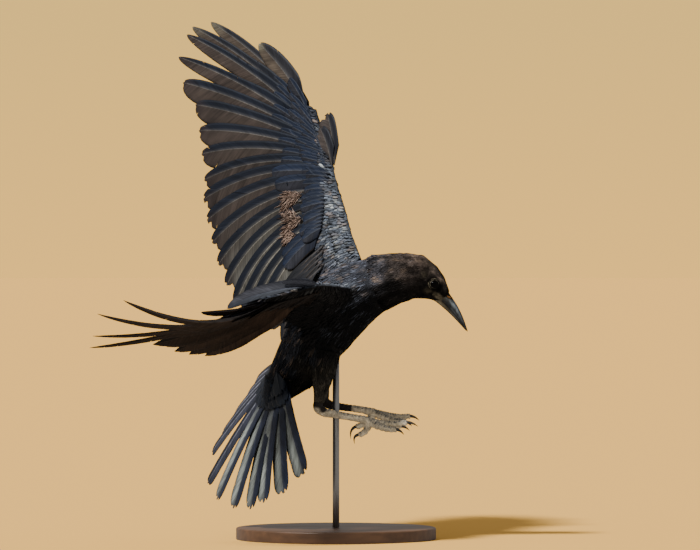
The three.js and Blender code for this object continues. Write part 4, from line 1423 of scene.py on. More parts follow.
@dataclass
class Skin:
    """The one skin that replaces the nodes of flesh, inside them by the coat's depth."""

    field_of_lie: LieField
    voxel: float = 0.0017
    rounds: int = 9
    neck_rounds: int = 26
    soft_from: float = 55.0
    soft_to: float = 75.0
    inset: float = 0.3
    held_from: float = NECK[0].at[0] - 8
    darker: float = 0.6
    gape_edge: tuple[float, float] = (2.6, 4.2)
    seam_angle: float = 66.0
    island_gap: float = 0.004
    batch: int = 8000
    map_batch: int = 200

    def build(self) -> bpy.types.Object:
        """Melts the flesh into one skin, sinks it by the coat's depth and marks it like the coat.

        Returns:
            The skin.
        """
        mesh = remeshed("skin", *loose_copy(FLESH_NODES), self.voxel, self.rounds)
        softened(mesh, self.soft_from, self.soft_to, self.neck_rounds)
        points, normals = arrays_of(mesh)
        found = self.blended(points, normals)
        self.grain = np.sqrt(found["length"] * found["width"])
        sunk = points - normals * found["depth"][:, None]
        self.hold_in(sunk)
        move(mesh, sunk)
        tint(mesh, self.tones(points, found["tone"]))
        self.piece = placed("skin", mesh)
        self.unwrap()
        self.index()
        return hand_over(self.piece, ["skin"], "plumage", *FLESH_NODES)

    def tones(self, points: np.ndarray, coat: np.ndarray) -> np.ndarray:
        """The skin's colours: those of the coat over it, but darker, and bare and pale at the gape.

        Args:
            points: Places in millimetres, one row each.
            coat: Colour of the coat over each.

        Returns:
            One colour for each place.
        """
        clad = coat * self.darker * np.clip(1 + 0.3 * mottled(points, 6, 9), 0.4, 1.6)[:, None]
        patches = 1 + 0.45 * mottled(points, 1.8, 5) + 0.25 * mottled(points, 0.8, 6)
        bare = np.array(linear(98, 92, 78)) * np.clip(patches, 0.25, 2.0)[:, None]
        return between(bare, clad, smoothstep(gape_gap(points), *self.gape_edge)[:, None])

    def hold_in(self, points: np.ndarray) -> None:
        """Moves the points of the head and neck that would come out of the flesh back under its surface.

        Args:
            points: Points of the skin in millimetres, moved in place.
        """
        flesh = remeshed("flesh", *loose_copy(FLESH_NODES), self.voxel, 1)
        tree = BVHTree.FromPolygons(arrays_of(flesh)[0].tolist(), [list(f.vertices) for f in flesh.polygons])
        for i in np.nonzero(points[:, 0] > self.held_from)[0]:
            place, normal, _, _ = tree.find_nearest(points[i].tolist())
            place, normal = np.array(place), np.array(normal)
            if (points[i] - place) @ normal > -self.inset:
                points[i] = place - normal * self.inset
        bpy.data.meshes.remove(flesh)

    def blended(self, points: np.ndarray, normals: np.ndarray) -> dict[str, np.ndarray]:
        """The lie of the coat at many places, worked out in batches.

        Args:
            points: Places in millimetres, one row each.
            normals: The way out of the skin at each.

        Returns:
            The lie at each place, by name.
        """
        batches = [self.field_of_lie.blend(points[i:i + self.batch], normals[i:i + self.batch])
                   for i in range(0, len(points), self.batch)]
        return {k: np.concatenate([b[k] for b in batches]) for k in batches[0]}

    def unwrap(self) -> None:
        """Unwraps the skin's own shape into the bake map."""
        self.piece.data.uv_layers.new(name=BAKE_MAP)
        bpy.ops.object.select_all(action="DESELECT")
        bpy.context.view_layer.objects.active = self.piece
        self.piece.select_set(True)
        bpy.ops.object.mode_set(mode="EDIT")
        bpy.ops.mesh.select_all(action="SELECT")
        bpy.ops.uv.smart_project(angle_limit=math.radians(self.seam_angle), island_margin=self.island_gap)
        bpy.ops.object.mode_set(mode="OBJECT")

    def index(self) -> None:
        """Keeps the skin's triangles, normals and unwrap as arrays for the coat's roots."""
        mesh = self.piece.data
        mesh.calc_loop_triangles()
        count = len(mesh.loop_triangles)
        corners, loops = np.empty(count * 3, np.int32), np.empty(count * 3, np.int32)
        mesh.loop_triangles.foreach_get("vertices", corners)
        mesh.loop_triangles.foreach_get("loops", loops)
        flat = np.empty(len(mesh.loops) * 2, np.float32)
        mesh.uv_layers[BAKE_MAP].data.foreach_get("uv", flat)
        points, self.point_normals = arrays_of(mesh)
        self.corners = corners.reshape(-1, 3)
        self.tree = BVHTree.FromPolygons(points.tolist(), self.corners.tolist())
        self.triangles = points[self.corners]
        self.maps = flat.reshape(-1, 2)[loops.reshape(-1, 3)]
        a, b, c = (self.triangles[:, k] for k in range(3))
        area = np.linalg.norm(np.cross(b - a, c - a), axis=1)
        self.share = area / self.grain[self.corners].mean(1) ** 2
        self.share /= self.share.sum()

    def scatter(self, count: int, rng: np.random.Generator) -> tuple[np.ndarray, np.ndarray, np.ndarray]:
        """Random places on the skin, closer where feathers are small: points, normals and map places.

        Args:
            count: How many places.
            rng: Where the random draws come from.

        Returns:
            The points, the normals and the map places.
        """
        chosen = rng.choice(len(self.share), count, p=self.share)
        a, b = rng.random(count), rng.random(count)
        over = a + b > 1
        a[over], b[over] = 1 - a[over], 1 - b[over]
        share = np.stack([1 - a - b, a, b], 1)[..., None]
        points = (self.triangles[chosen] * share).sum(1)
        normals = unit((self.point_normals[self.corners[chosen]] * share).sum(1))
        return points, normals, (self.maps[chosen] * share).sum(1)

    def gaps(self, points: np.ndarray) -> np.ndarray:
        """How far each point is from the skin, in millimetres."""
        return np.array([self.tree.find_nearest(point)[3] for point in points.tolist()])

    def nearest_maps(self, points: np.ndarray) -> np.ndarray:
        """The place on the unwrap of the skin nearest to each point.

        Args:
            points: Places in millimetres, one row each.

        Returns:
            One map place for each point.
        """
        middles = self.triangles.mean(1)
        out = np.empty((len(points), 2))
        for i in range(0, len(points), self.map_batch):
            lot = slice(i, i + self.map_batch)
            gaps = ((points[lot, None, :] - middles[None, :, :]) ** 2).sum(-1)
            out[lot] = self.maps[gaps.argmin(1)].mean(1)
        return out


# ---- Nodes -------------------------------------------------------------------------------------------------
@dataclass
class Tree:
    """A short way to write node trees."""

    tree: bpy.types.NodeTree

    def socket(self, title: str, kind: str, way: str = "INPUT", value: float | None = None) -> None:
        """Adds an input or output of the whole group.

        Args:
            title: Name of the socket.
            kind: Its type.
            way: Whether it is an input or an output.
            value: Its value to begin with, if any.
        """
        made = self.tree.interface.new_socket(title, in_out=way, socket_type=f"NodeSocket{kind}")
        if value is not None:
            made.default_value = value

    def node(self, kind: str, **settings: object) -> bpy.types.Node:
        """Adds a node with its settings.

        Args:
            kind: Type of the node.
            settings: Its settings, by name.

        Returns:
            The node.
        """
        made = self.tree.nodes.new(kind)
        for key, value in settings.items():
            setattr(made, key, value)
        return made

    def join(self, source: bpy.types.NodeSocket, target: bpy.types.NodeSocket) -> None:
        """Links an output to an input."""
        self.tree.links.new(source, target)

    def maths(self, operation: str, a: object, b: object = 0.0) -> bpy.types.NodeSocket:
        """Adds one step of arithmetic on sockets or numbers.

        Args:
            operation: What the step does.
            a: First socket or number.
            b: Second socket or number.

        Returns:
            The result.
        """
        made = self.node("ShaderNodeMath", operation=operation)
        for socket, value in zip(made.inputs, (a, b)):
            if isinstance(value, (int, float)):
                socket.default_value = value
            else:
                self.join(value, socket)
        return made.outputs[0]

    def scaled(self, vector: bpy.types.NodeSocket, factor: bpy.types.NodeSocket) -> bpy.types.NodeSocket:
        """Adds a vector or a colour times a number.

        Args:
            vector: The vector or colour.
            factor: The number.

        Returns:
            The result.
        """
        made = self.node("ShaderNodeVectorMath", operation="SCALE")
        self.join(vector, made.inputs[0])
        self.join(factor, made.inputs["Scale"])
        return made.outputs["Vector"]

    def mapped(self, value: object, low: float, high: float, to_low: float = 0.0,
               to_high: float = 1.0) -> bpy.types.NodeSocket:
        """Maps a value from one range to another.

        Args:
            value: What is mapped.
            low: Start of its range.
            high: End of its range.
            to_low: Start of the new range.
            to_high: End of the new range.

        Returns:
            The result.
        """
        made = self.node("ShaderNodeMapRange")
        self.join(value, made.inputs["Value"])
        for key, number in (("From Min", low), ("From Max", high), ("To Min", to_low), ("To Max", to_high)):
            made.inputs[key].default_value = number
        return made.outputs["Result"]


# ---- Coat --------------------------------------------------------------------------------------------------
@dataclass
class Roots:
    """Where small feathers stand: places, directions, sizes, colours and places on the skin's unwrap."""

    at: np.ndarray
    way: np.ndarray
    normal: np.ndarray
    length: np.ndarray
    width: np.ndarray
    rise: np.ndarray
    tone: np.ndarray
    place: np.ndarray

    def pick(self, keep: np.ndarray) -> "Roots":
        """The roots that a mask or a list of numbers names."""
        return Roots(*(getattr(self, k)[keep] for k in self.__dataclass_fields__))


CELLS_ROUND = tuple(product((-1, 0, 1), repeat=3))


def spaced(points: np.ndarray, radius: np.ndarray) -> np.ndarray:
    """Keeps places that stand at least their own radius from every place kept before, by a grid of cells.

    Args:
        points: Places in millimetres, one row each.
        radius: Least gap of each place.

    Returns:
        Numbers of the places kept.
    """
    grid: dict[tuple[int, int, int], list[Vec3]] = {}
    kept: list[int] = []
    keys = np.floor(points / float(radius.max())).astype(int).tolist()
    for i, ((p, q, r), (x, y, z), reach) in enumerate(zip(keys, points.tolist(), radius.tolist())):
        near = (spot for dx, dy, dz in CELLS_ROUND for spot in grid.get((p + dx, q + dy, r + dz), ()))
        if all((u - x) ** 2 + (v - y) ** 2 + (w - z) ** 2 >= reach * reach for u, v, w in near):
            grid.setdefault((p, q, r), []).append((x, y, z))
            kept.append(i)
    return np.array(kept, int)


@dataclass(frozen=True)
class SmallFeather:
    """The shape of a small feather of unit length and width, with loose barbs along its edge."""

    barbs: int = 5
    fray: float = 0.3
    lean: float = 0.35
    bend: float = 0.1
    cup: float = 0.3
    thick: float = 0.035
    point: float = 0.6

    def build(self, name: str, seed: int) -> bpy.types.Object:
        """Makes one closed feather with its root at the origin, its tip along +Y and its face to +Z.

        Args:
            name: Name of the object.
            seed: Picks the random draws.

        Returns:
            The feather.
        """
        rng = np.random.default_rng(seed)
        shape = bmesh.new()

        def point(x: float, y: float, z: float) -> bmesh.types.BMVert:
            """Adds a point of the flat feather where it comes to lie when the feather is bent and cupped."""
            return shape.verts.new((x, y, z - self.bend * y * y - self.cup * x * x))

        spine = np.linspace(0, 1, self.barbs + 1)
        top = [point(0, y, self.thick) for y in spine]
        low = [top[0], *(point(0, y, -self.thick) for y in spine[1:-1]), top[-1]]
        for side in (1, -1):
            rim = [top[0]]
            for k in range(self.barbs):
                y = (k + 0.75) / self.barbs
                wide = self.reach(y) * rng.uniform(0.88, 1.08)
                rim.append(point(side * wide, min(1.0, y + self.lean * wide * 0.6) * 0.97, 0))
                if k < self.barbs - 1:
                    gap_y = (k + 1.05) / self.barbs
                    cut = 1 - self.fray * rng.uniform(0.35, 1.0) * (0.35 + 0.65 * y)
                    rim.append(point(side * self.reach(gap_y) * cut, gap_y + 0.02, 0))
            rim.append(top[-1])
            steps = len(rim) - 1
            for line, lower in ((top, False), (low, True)):
                self.face(shape, [line[0], rim[1], line[1]], side, lower)
                at = 1
                for j in range(1, steps):
                    self.face(shape, [line[at], rim[j], rim[j + 1]], side, lower)
                    target = min(len(line) - 2, max(1, round((j + 1) * (len(line) - 1) / steps)))
                    while at < target:
                        self.face(shape, [line[at], rim[j + 1], line[at + 1]], side, lower)
                        at += 1
        bmesh.ops.recalc_face_normals(shape, faces=shape.faces)
        layer = shape.loops.layers.uv.new("Vane")
        for face in shape.faces:
            face.smooth = True
            for loop in face.loops:
                loop[layer].uv = (loop.vert.co.x + 0.5, loop.vert.co.y)
        mesh = bpy.data.meshes.new(name)
        shape.to_mesh(mesh)
        shape.free()
        return bpy.data.objects.new(name, mesh)

    def reach(self, y: float) -> float:
        """How wide half of the feather is at height y."""
        return 0.5 * max(0.0, math.sin(math.pi * min(1.0, y) ** self.point)) ** 0.62

    def face(self, shape: bmesh.types.BMesh, verts: list, side: int, lower: bool) -> None:
        """Adds one triangle, turned by its side and by whether it is underneath."""
        shape.faces.new(verts if (side > 0) != lower else verts[::-1])


PATCH = 0.003


def planting_tree() -> bpy.types.NodeTree:
    """The Geometry Nodes tree that stands a small feather on each root and maps it for baking.

    Returns:
        The tree.
    """
    tree = bpy.data.node_groups.new("Planting", "GeometryNodeTree")
    t = Tree(tree)
    t.socket("Geometry", "Geometry")
    t.socket("Feather", "Object")
    t.socket("Patch", "Float", value=PATCH)
    t.socket("Finish", "Material")
    t.socket("Geometry", "Geometry", "OUTPUT")
    start, end = t.node("NodeGroupInput"), t.node("NodeGroupOutput")

    def named(title: str) -> bpy.types.NodeSocket:
        """The values of a named attribute."""
        node = t.node("GeometryNodeInputNamedAttribute", data_type="FLOAT_VECTOR")
        node.inputs["Name"].default_value = title
        return node.outputs["Attribute"]

    source = t.node("GeometryNodeObjectInfo", transform_space="ORIGINAL")
    t.join(start.outputs["Feather"], source.inputs["Object"])
    stand = t.node("GeometryNodeInstanceOnPoints")
    t.join(start.outputs["Geometry"], stand.inputs["Points"])
    t.join(source.outputs["Geometry"], stand.inputs["Instance"])
    t.join(named("turn"), stand.inputs["Rotation"])
    t.join(named("size"), stand.inputs["Scale"])
    real = t.node("GeometryNodeRealizeInstances")
    t.join(stand.outputs["Instances"], real.inputs["Geometry"])
    middle = t.node("ShaderNodeVectorMath", operation="SUBTRACT")
    t.join(named("Vane"), middle.inputs[0])
    middle.inputs[1].default_value = (0.5, 0.5, 0)
    small = t.scaled(middle.outputs["Vector"], start.outputs["Patch"])
    total = t.node("ShaderNodeVectorMath", operation="ADD")
    t.join(named("place"), total.inputs[0])
    t.join(small, total.inputs[1])
    store = t.node("GeometryNodeStoreNamedAttribute", data_type="FLOAT2", domain="CORNER")
    store.inputs["Name"].default_value = BAKE_MAP
    t.join(real.outputs["Geometry"], store.inputs["Geometry"])
    t.join(total.outputs["Vector"], store.inputs["Value"])
    dress = t.node("GeometryNodeSetMaterial")
    t.join(store.outputs["Geometry"], dress.inputs["Geometry"])
    t.join(start.outputs["Finish"], dress.inputs["Material"])
    t.join(dress.outputs["Geometry"], end.inputs["Geometry"])
    return tree


@dataclass
class Planter:
    """Stands small feathers on roots through the planting tree and makes each lot a plain mesh."""

    tree: bpy.types.NodeTree
    patch: float = PATCH
    sizes: tuple[float, float] = (0.86, 1.16)
    rises: tuple[float, float] = (0.6, 1.5)
    stray: float = 0.13

    def plant(self, name: str, roots: Roots, feather: bpy.types.Object, finish: str,
              seed: int) -> bpy.types.Object:
        """Plants one lot.

        Args:
            name: The piece's name.
            roots: Where the feathers stand.
            feather: The feather that is repeated.
            finish: The name of its finish.
            seed: The seed of the small differences between feathers.

        Returns:
            The piece.
        """
        rng = np.random.default_rng(seed)
        count = len(roots.at)
        mesh = bpy.data.meshes.new(name + "_roots")
        mesh.from_pydata((roots.at * MM).tolist(), [], [])
        turn = self.turns(roots, rng)
        size = np.stack([roots.width, roots.length, roots.length], 1) * MM
        size *= rng.uniform(*self.sizes, (count, 1))
        place = np.concatenate([roots.place, np.zeros((count, 1))], 1)
        ours = {"turn": turn, "size": size, "place": place}
        for title, values in ours.items():
            layer = mesh.attributes.new(title, "FLOAT_VECTOR", "POINT")
            layer.data.foreach_set("vector", values.astype(np.float32).ravel())
        tint(mesh, np.clip(roots.tone, 0, 1))
        holder = placed(name + "_roots", mesh)
        modifier = holder.modifiers.new("Planting", "NODES")
        modifier.node_group = self.tree
        values = {"Feather": feather, "Patch": self.patch, "Finish": FINISHES[finish]}
        for item in self.tree.interface.items_tree:
            if item.item_type == "SOCKET" and item.in_out == "INPUT" and item.name in values:
                modifier[item.identifier] = values[item.name]
        made = as_mesh(holder, name)
        for spare in ours:
            if spare in made.attributes:
                made.attributes.remove(made.attributes[spare])
        return hand_over(placed(name, made), (), "plumage")

    def turns(self, roots: Roots, rng: np.random.Generator) -> np.ndarray:
        """The turn of each feather, along its way and raised off the skin, each a little different.

        Args:
            roots: The roots.
            rng: Where the random draws come from.

        Returns:
            One turn for each root.
        """
        count = len(roots.at)
        normal = unit(roots.normal)
        way = unit(roots.way + np.cross(normal, roots.way) * rng.normal(0, self.stray, (count, 1)))
        rise = np.radians(roots.rise * rng.uniform(*self.rises, count))[:, None]
        ahead = unit(way * np.cos(rise) + normal * np.sin(rise))
        side = unit(np.cross(ahead, normal))
        frames = np.stack([side, ahead, np.cross(side, ahead)], -1)
        return np.array([Matrix(frame.tolist()).to_euler("XYZ")[:] for frame in frames])


BILL_BASE = np.array((131.0, HEAD_MIDDLE, 290.0))
BILL_WAY = np.array((0.62, 0.0, -0.78))
BILL_START = 2.0
TAIL_ROOT = np.array((-54.0, 12.0, 199.0))
TAIL_FLOW = unit(np.array((-0.3, 0.1, -0.95)))
TAIL_LIE = {"length": 4.8, "width": 3.0, "rise": 0.2, "mottle": 0.0, "facing": 0.0, "tone": TAIL_LOBE}
HANGING = (Region.TRUNK, Region.RUMP, Region.THIGHS)


@dataclass
class Coat:
    """The small feathers over the skin, in one lot for each part of the bird.

    A place is left bare where the known lies disagree with the skin's own slope (less than least_sure), where
    feathers of the rump would run off it sideways (less than least_down), and under the thighs
    (thigh_floor). A feather is left out where its tip would stand clear of the skin by more than the
    share overhang of its length.
    """

    skin: Skin
    planter: Planter
    seed: int = 7
    tries: int = 170000
    closeness: float = 0.42
    plush: float = 0.37
    overhang: float = 0.3
    eye_clear: float = 6.3
    least_sure: float = 0.4
    least_flat: float = 0.5
    least_down: float = 0.45
    thigh_floor: float = -0.4
    shades: tuple[float, float] = (0.22, 2.6)
    warmth: float = 0.5
    bare: float = 0.85
    most_triangles: int = 180000

    def roots(self) -> tuple[Roots, np.ndarray]:
        """Chooses the roots of the whole coat and says which part of the bird each is on.

        Returns:
            The roots, and the part of the bird for each.
        """
        rng = np.random.default_rng(self.seed)
        points, normals, place = self.skin.scatter(self.tries, rng)
        found = self.skin.blended(points, normals)
        allowed = self.clad(points, normals, found, self.dock(points, normals, found))
        close = np.where(found["region"] <= Region.NECK.value, self.plush, self.closeness)
        radius = close * np.sqrt(found["length"] * found["width"])
        kept = []
        for part in Region:
            here = np.nonzero(allowed & (found["region"] == part.value))[0]
            kept.append(here[spaced(points[here], radius[here])])
        kept = np.concatenate(kept)
        on_body = kept[np.isin(found["region"][kept], [part.value for part in HANGING])]
        reach = found["length"][on_body]
        tips = points[on_body] + found["way"][on_body] * reach[:, None]
        kept = kept[~np.isin(kept, on_body[self.skin.gaps(tips) > self.overhang * reach])]
        found = {k: v[kept] for k, v in found.items()}
        roots = Roots(points[kept], found["way"], normals[kept], found["length"], found["width"],
                      found["rise"], self.tones(points[kept], found, rng), place[kept])
        return roots, found["region"]

    def dock(self, points: np.ndarray, normals: np.ndarray, found: dict[str, np.ndarray]) -> np.ndarray:
        """Makes the coat small and dark at the tail's root, running down over it.

        Args:
            points: Places on the skin.
            normals: The skin's outward directions there.
            found: The lie at each place, which is changed at the tail's root.

        Returns:
            How well each place there faces the tail's own run, and -1 at every other place.
        """
        flow = TAIL_FLOW - normals * (normals @ TAIL_FLOW)[:, None]
        at_tail = (points[:, 0] < TAIL_ROOT[0]) & (points[:, 2] < TAIL_ROOT[2])
        found["way"][at_tail] = unit(flow[at_tail])
        for title, value in TAIL_LIE.items():
            found[title][at_tail] = value
        return np.where(at_tail, np.linalg.norm(flow, axis=1), -1.0)

    def clad(self, points: np.ndarray, normals: np.ndarray, found: dict[str, np.ndarray],
             flat: np.ndarray) -> np.ndarray:
        """Which places bear feathers.

        Args:
            points: Places on the skin.
            normals: The skin's outward directions there.
            found: The lie at each place.
            flat: How well each place at the tail's root faces the tail's run, and -1 elsewhere.

        Returns:
            A mask.
        """
        at_tail = flat >= 0
        clad = np.where(at_tail, flat > self.least_flat, found["sure"] > self.least_sure)
        clad &= found["clad"] > 0.5
        downwards = (found["way"] * unit(DOWN_THE_BODY)).sum(1)
        clad &= (found["region"] != Region.RUMP.value) | (downwards > self.least_down) | at_tail
        clad &= (found["region"] != Region.THIGHS.value) | (normals[:, 2] > self.thigh_floor)
        clad &= (points - BILL_BASE) @ BILL_WAY <= BILL_START
        for side in (1, -1):
            clad &= np.linalg.norm(points - EYE.at(side), axis=1) >= self.eye_clear
        return clad

    def tones(self, spots: np.ndarray, found: dict[str, np.ndarray], rng: np.random.Generator) -> np.ndarray:
        """The colours of feathers that stand at spots with a known lie, mottled, with a painted glint on some
        of them, and pale at the gape.

        Args:
            spots: Places in millimetres, one row each.
            found: The lie at each, by name.
            rng: Where the random draws come from.

        Returns:
            One colour for each place.
        """
        count, furry = len(spots), found["region"] <= Region.NECK.value
        bright = (1 + np.where(furry, 0.5, 0.3) * mottled(spots, 9, 3) + 0.28 * mottled(spots, 4, 4)
                  + 0.2 * mottled(spots, 1.8, 5))
        bright = bright * (1 + rng.uniform(-0.17, 0.17, count) * np.where(furry, 0.4, 1.0))
        # A painted glint, on the share of feathers that the lie's mottle gives, where light catches them.
        glint = (rng.random(count) < found["mottle"])[:, None] * rng.uniform(0.4, 1.0, (count, 1))
        tone = between(found["tone"], found["glint"], glint)
        warm = self.warmth * smoothstep(mottled(spots, 7, 12), 0.2, 1.5) * found["facing"]
        bare = 1 - smoothstep(gape_gap(spots) + 0.5 * mottled(spots, 3, 8), 1.6, 4.0)
        for share, colour in ((warm, WARM), (self.bare * bare, GAPE_TONE)):
            tone = between(tone, colour, share[:, None])
        return tone * np.clip(bright, *self.shades)[:, None]

    def build(self) -> list[bpy.types.Object]:
        """Plants every part of the coat, each part split into pieces of about most_triangles triangles at
        most.

        Returns:
            The pieces.
        """
        roots, region = self.roots()
        broad = SmallFeather(barbs=4, cup=0.18, bend=0.05).build("small_feather", 1)
        fine = SmallFeather(barbs=3, fray=0.3, bend=0.04, cup=0.12).build("fine_feather", 2)
        scale = SmallFeather(barbs=5, fray=0.16, bend=0.05, cup=0.12, point=1.0).build("scale_feather", 3)
        kinds = {Region.HEAD: (fine, "velvet"), Region.NECK: (fine, "velvet"),
                 Region.WING_LEFT: (scale, "scaly"), Region.WING_RIGHT: (scale, "scaly")}
        pieces = []
        for part in Region:
            mask = np.nonzero(region == part.value)[0]
            feather, finish = kinds.get(part, (broad, "coat"))
            lots = max(1, math.ceil(len(mask) * triangles_of(feather.data) / self.most_triangles))
            for k in range(lots):
                name = f"coat_{part.name.lower()}" + (f"_{k + 1}" if lots > 1 else "")
                pieces.append(self.planter.plant(name, roots.pick(mask[k::lots]), feather, finish,
                                                 self.seed + part.value * 10 + k))
        return pieces


# ---- Head --------------------------------------------------------------------------------------------------
@dataclass(frozen=True)
class EyeSize:
    """Where an eye stands in the head, `side` away from the head's middle plane."""

    x: float = 116.5
    z: float = 305.8
    side: float = 15.4
    radius: float = 5.6

    def at(self, side: int) -> np.ndarray:
        """The middle of the eye on one side, 1 for the left and -1 for the right."""
        return np.array((self.x, HEAD_MIDDLE + side * self.side, self.z))


EYE = EyeSize()


def turned(name: str, profile: Sequence[tuple[float, float]], sides: int, place: Matrix) -> bpy.types.Object:
    """Makes a closed turned body whose profile starts and ends on the axis.

    Args:
        name: The piece's name.
        profile: Radius and height pairs, in millimetres, from one pole to the other.
        sides: Number of sides.
        place: Where the body stands, with its axis along the matrix's Z.

    Returns:
        The object.
    """
    shape = bmesh.new()
    around = np.linspace(0, 2 * math.pi, sides, endpoint=False)
    rings = [[shape.verts.new(Vector((r * math.cos(a), r * math.sin(a), z)))
              for a in (around if r > 1e-6 else around[:1])] for r, z in profile]
    for low, high in zip(rings, rings[1:]):
        for k in range(sides):
            n = (k + 1) % sides
            if len(low) == 1 and len(high) > 1:
                shape.faces.new((low[0], high[k], high[n]))
            elif len(high) == 1 and len(low) > 1:
                shape.faces.new((low[k], low[n], high[0]))
            elif len(low) > 1:
                shape.faces.new((low[k], low[n], high[n], high[k]))
    bmesh.ops.recalc_face_normals(shape, faces=shape.faces)
    shape.transform(Matrix.Scale(MM, 4) @ place)
    mesh = bpy.data.meshes.new(name)
    shape.to_mesh(mesh)
    shape.free()
    mesh.polygons.foreach_set("use_smooth", np.ones(len(mesh.polygons), bool))
    return placed(name, mesh)


@dataclass(frozen=True)
class Eye:
    """One eye with the bare rim of its lids.

    The two ridges of the rim are pale: the inner one before and under the eye, and the outer one behind it.
    """

    side: int
    rim: Sequence[tuple[float, float]] = (
        (3.9, 3.3), (3.95, 4.15), (4.2, 4.35), (4.55, 4.2), (4.9, 4.12), (5.15, 4.16), (5.4, 3.9), (5.8, 3.5),
        (6.2, 3.3), (6.55, 3.2), (6.8, 3.25), (7.0, 2.9), (7.25, 1.0), (6.0, 0.3), (3.9, 0.3))
    inner_ridge: int = 5
    outer_ridge: int = 10
    oval: float = 0.07
    turns: int = 73

    @property
    def name(self) -> str:
        """The side's name."""
        return "left" if self.side > 0 else "right"

    def frame(self) -> Matrix:
        """The eye's own frame, looking out of the head and a little forward.

        Returns:
            The frame.
        """
        out = unit(np.array((0.24, self.side, 0.05)))
        turn = Vector(out.tolist()).to_track_quat("Z", "Y").to_matrix().to_4x4()
        return Matrix.Translation(EYE.at(self.side).tolist()) @ turn

    def back_turn(self) -> float:
        """The turn round the eye's axis that points up and back over the head."""
        inside = self.frame().to_3x3().inverted() @ Vector((-0.75, 0, 0.6))
        return math.atan2(inside.y, inside.x)

    def ball(self) -> bpy.types.Object:
        """Makes the eyeball.

        Returns:
            The eyeball.
        """
        profile = [(EYE.radius * math.sin(a), -EYE.radius * math.cos(a)) for a in np.linspace(0, math.pi, 25)]
        ball = turned(f"eye_{self.name}_ball", profile, 40, self.frame())
        return hand_over(ball, ["eye"], "eye", f"eye_{self.name}")

    def lids(self) -> bpy.types.Object:
        """Makes the beaded rim with its two pale and broken ridges.

        Returns:
            The rim.
        """
        rng = np.random.default_rng(60 + self.side)
        profile, frame = np.array(self.rim), np.array(self.frame())
        pale, dark = linear(150, 140, 114), linear(8, 8, 8)
        back_turn = self.back_turn()
        rings, tones = [], []
        for a in np.linspace(0, 2 * math.pi, self.turns):
            bead = 1 + 0.012 * math.sin(a * 22) + rng.normal(0, 0.006)
            wide = (1 + self.oval * math.cos(2 * a)) * bead
            local = np.stack([profile[:, 0] * wide * math.cos(a), profile[:, 0] * bead * math.sin(a),
                              profile[:, 1] * (1 + rng.normal(0, 0.012)), np.ones(len(profile))], 1)
            rings.append((local @ frame.T)[:, :3])
            behind = math.cos(a - back_turn)
            broken = 0.55 + 0.5 * math.sin(a * 5 + 1.1) * math.sin(a * 3) + rng.normal(0, 0.12)
            ridge = np.zeros(len(profile))
            ridge[self.inner_ridge] = smoothstep(behind, -0.95, -0.3) * broken
            ridge[self.outer_ridge] = smoothstep(behind, -0.25, 0.5) * (1.3 - broken)
            tones.append(between(dark, pale, np.clip(ridge, 0, 1)[:, None]))
        rings[-1] = rings[0]
        shells = Shells()
        shells.add_tube(np.array(rings), np.array(tones), np.zeros((len(rings), len(profile), 2)))
        return hand_over(shells.mesh(f"eye_{self.name}_rim"), ["lid"], "plumage")

    def build(self) -> list[bpy.types.Object]:
        """Makes the eyeball and its rim."""
        return [self.ball(), self.lids()]


def cubic(points: Sequence[tuple[float, float]], t: np.ndarray) -> np.ndarray:
    """Points of a cubic curve in the head's plane.

    Args:
        points: The curve's four points.
        t: Shares of the curve.

    Returns:
        One point for each share.
    """
    a, b, c, d = (np.array(p, float) for p in points)
    t = t[:, None]
    return (1 - t) ** 3 * a + 3 * (1 - t) ** 2 * t * b + 3 * (1 - t) * t**2 * c + t**3 * d


MOUTH_LINE = ((112, 296.5), (129, 285), (143, 270), (156, 250.5))
CULMEN = ((123, 307), (129, 303), (134, 297.5), (138.5, 290))


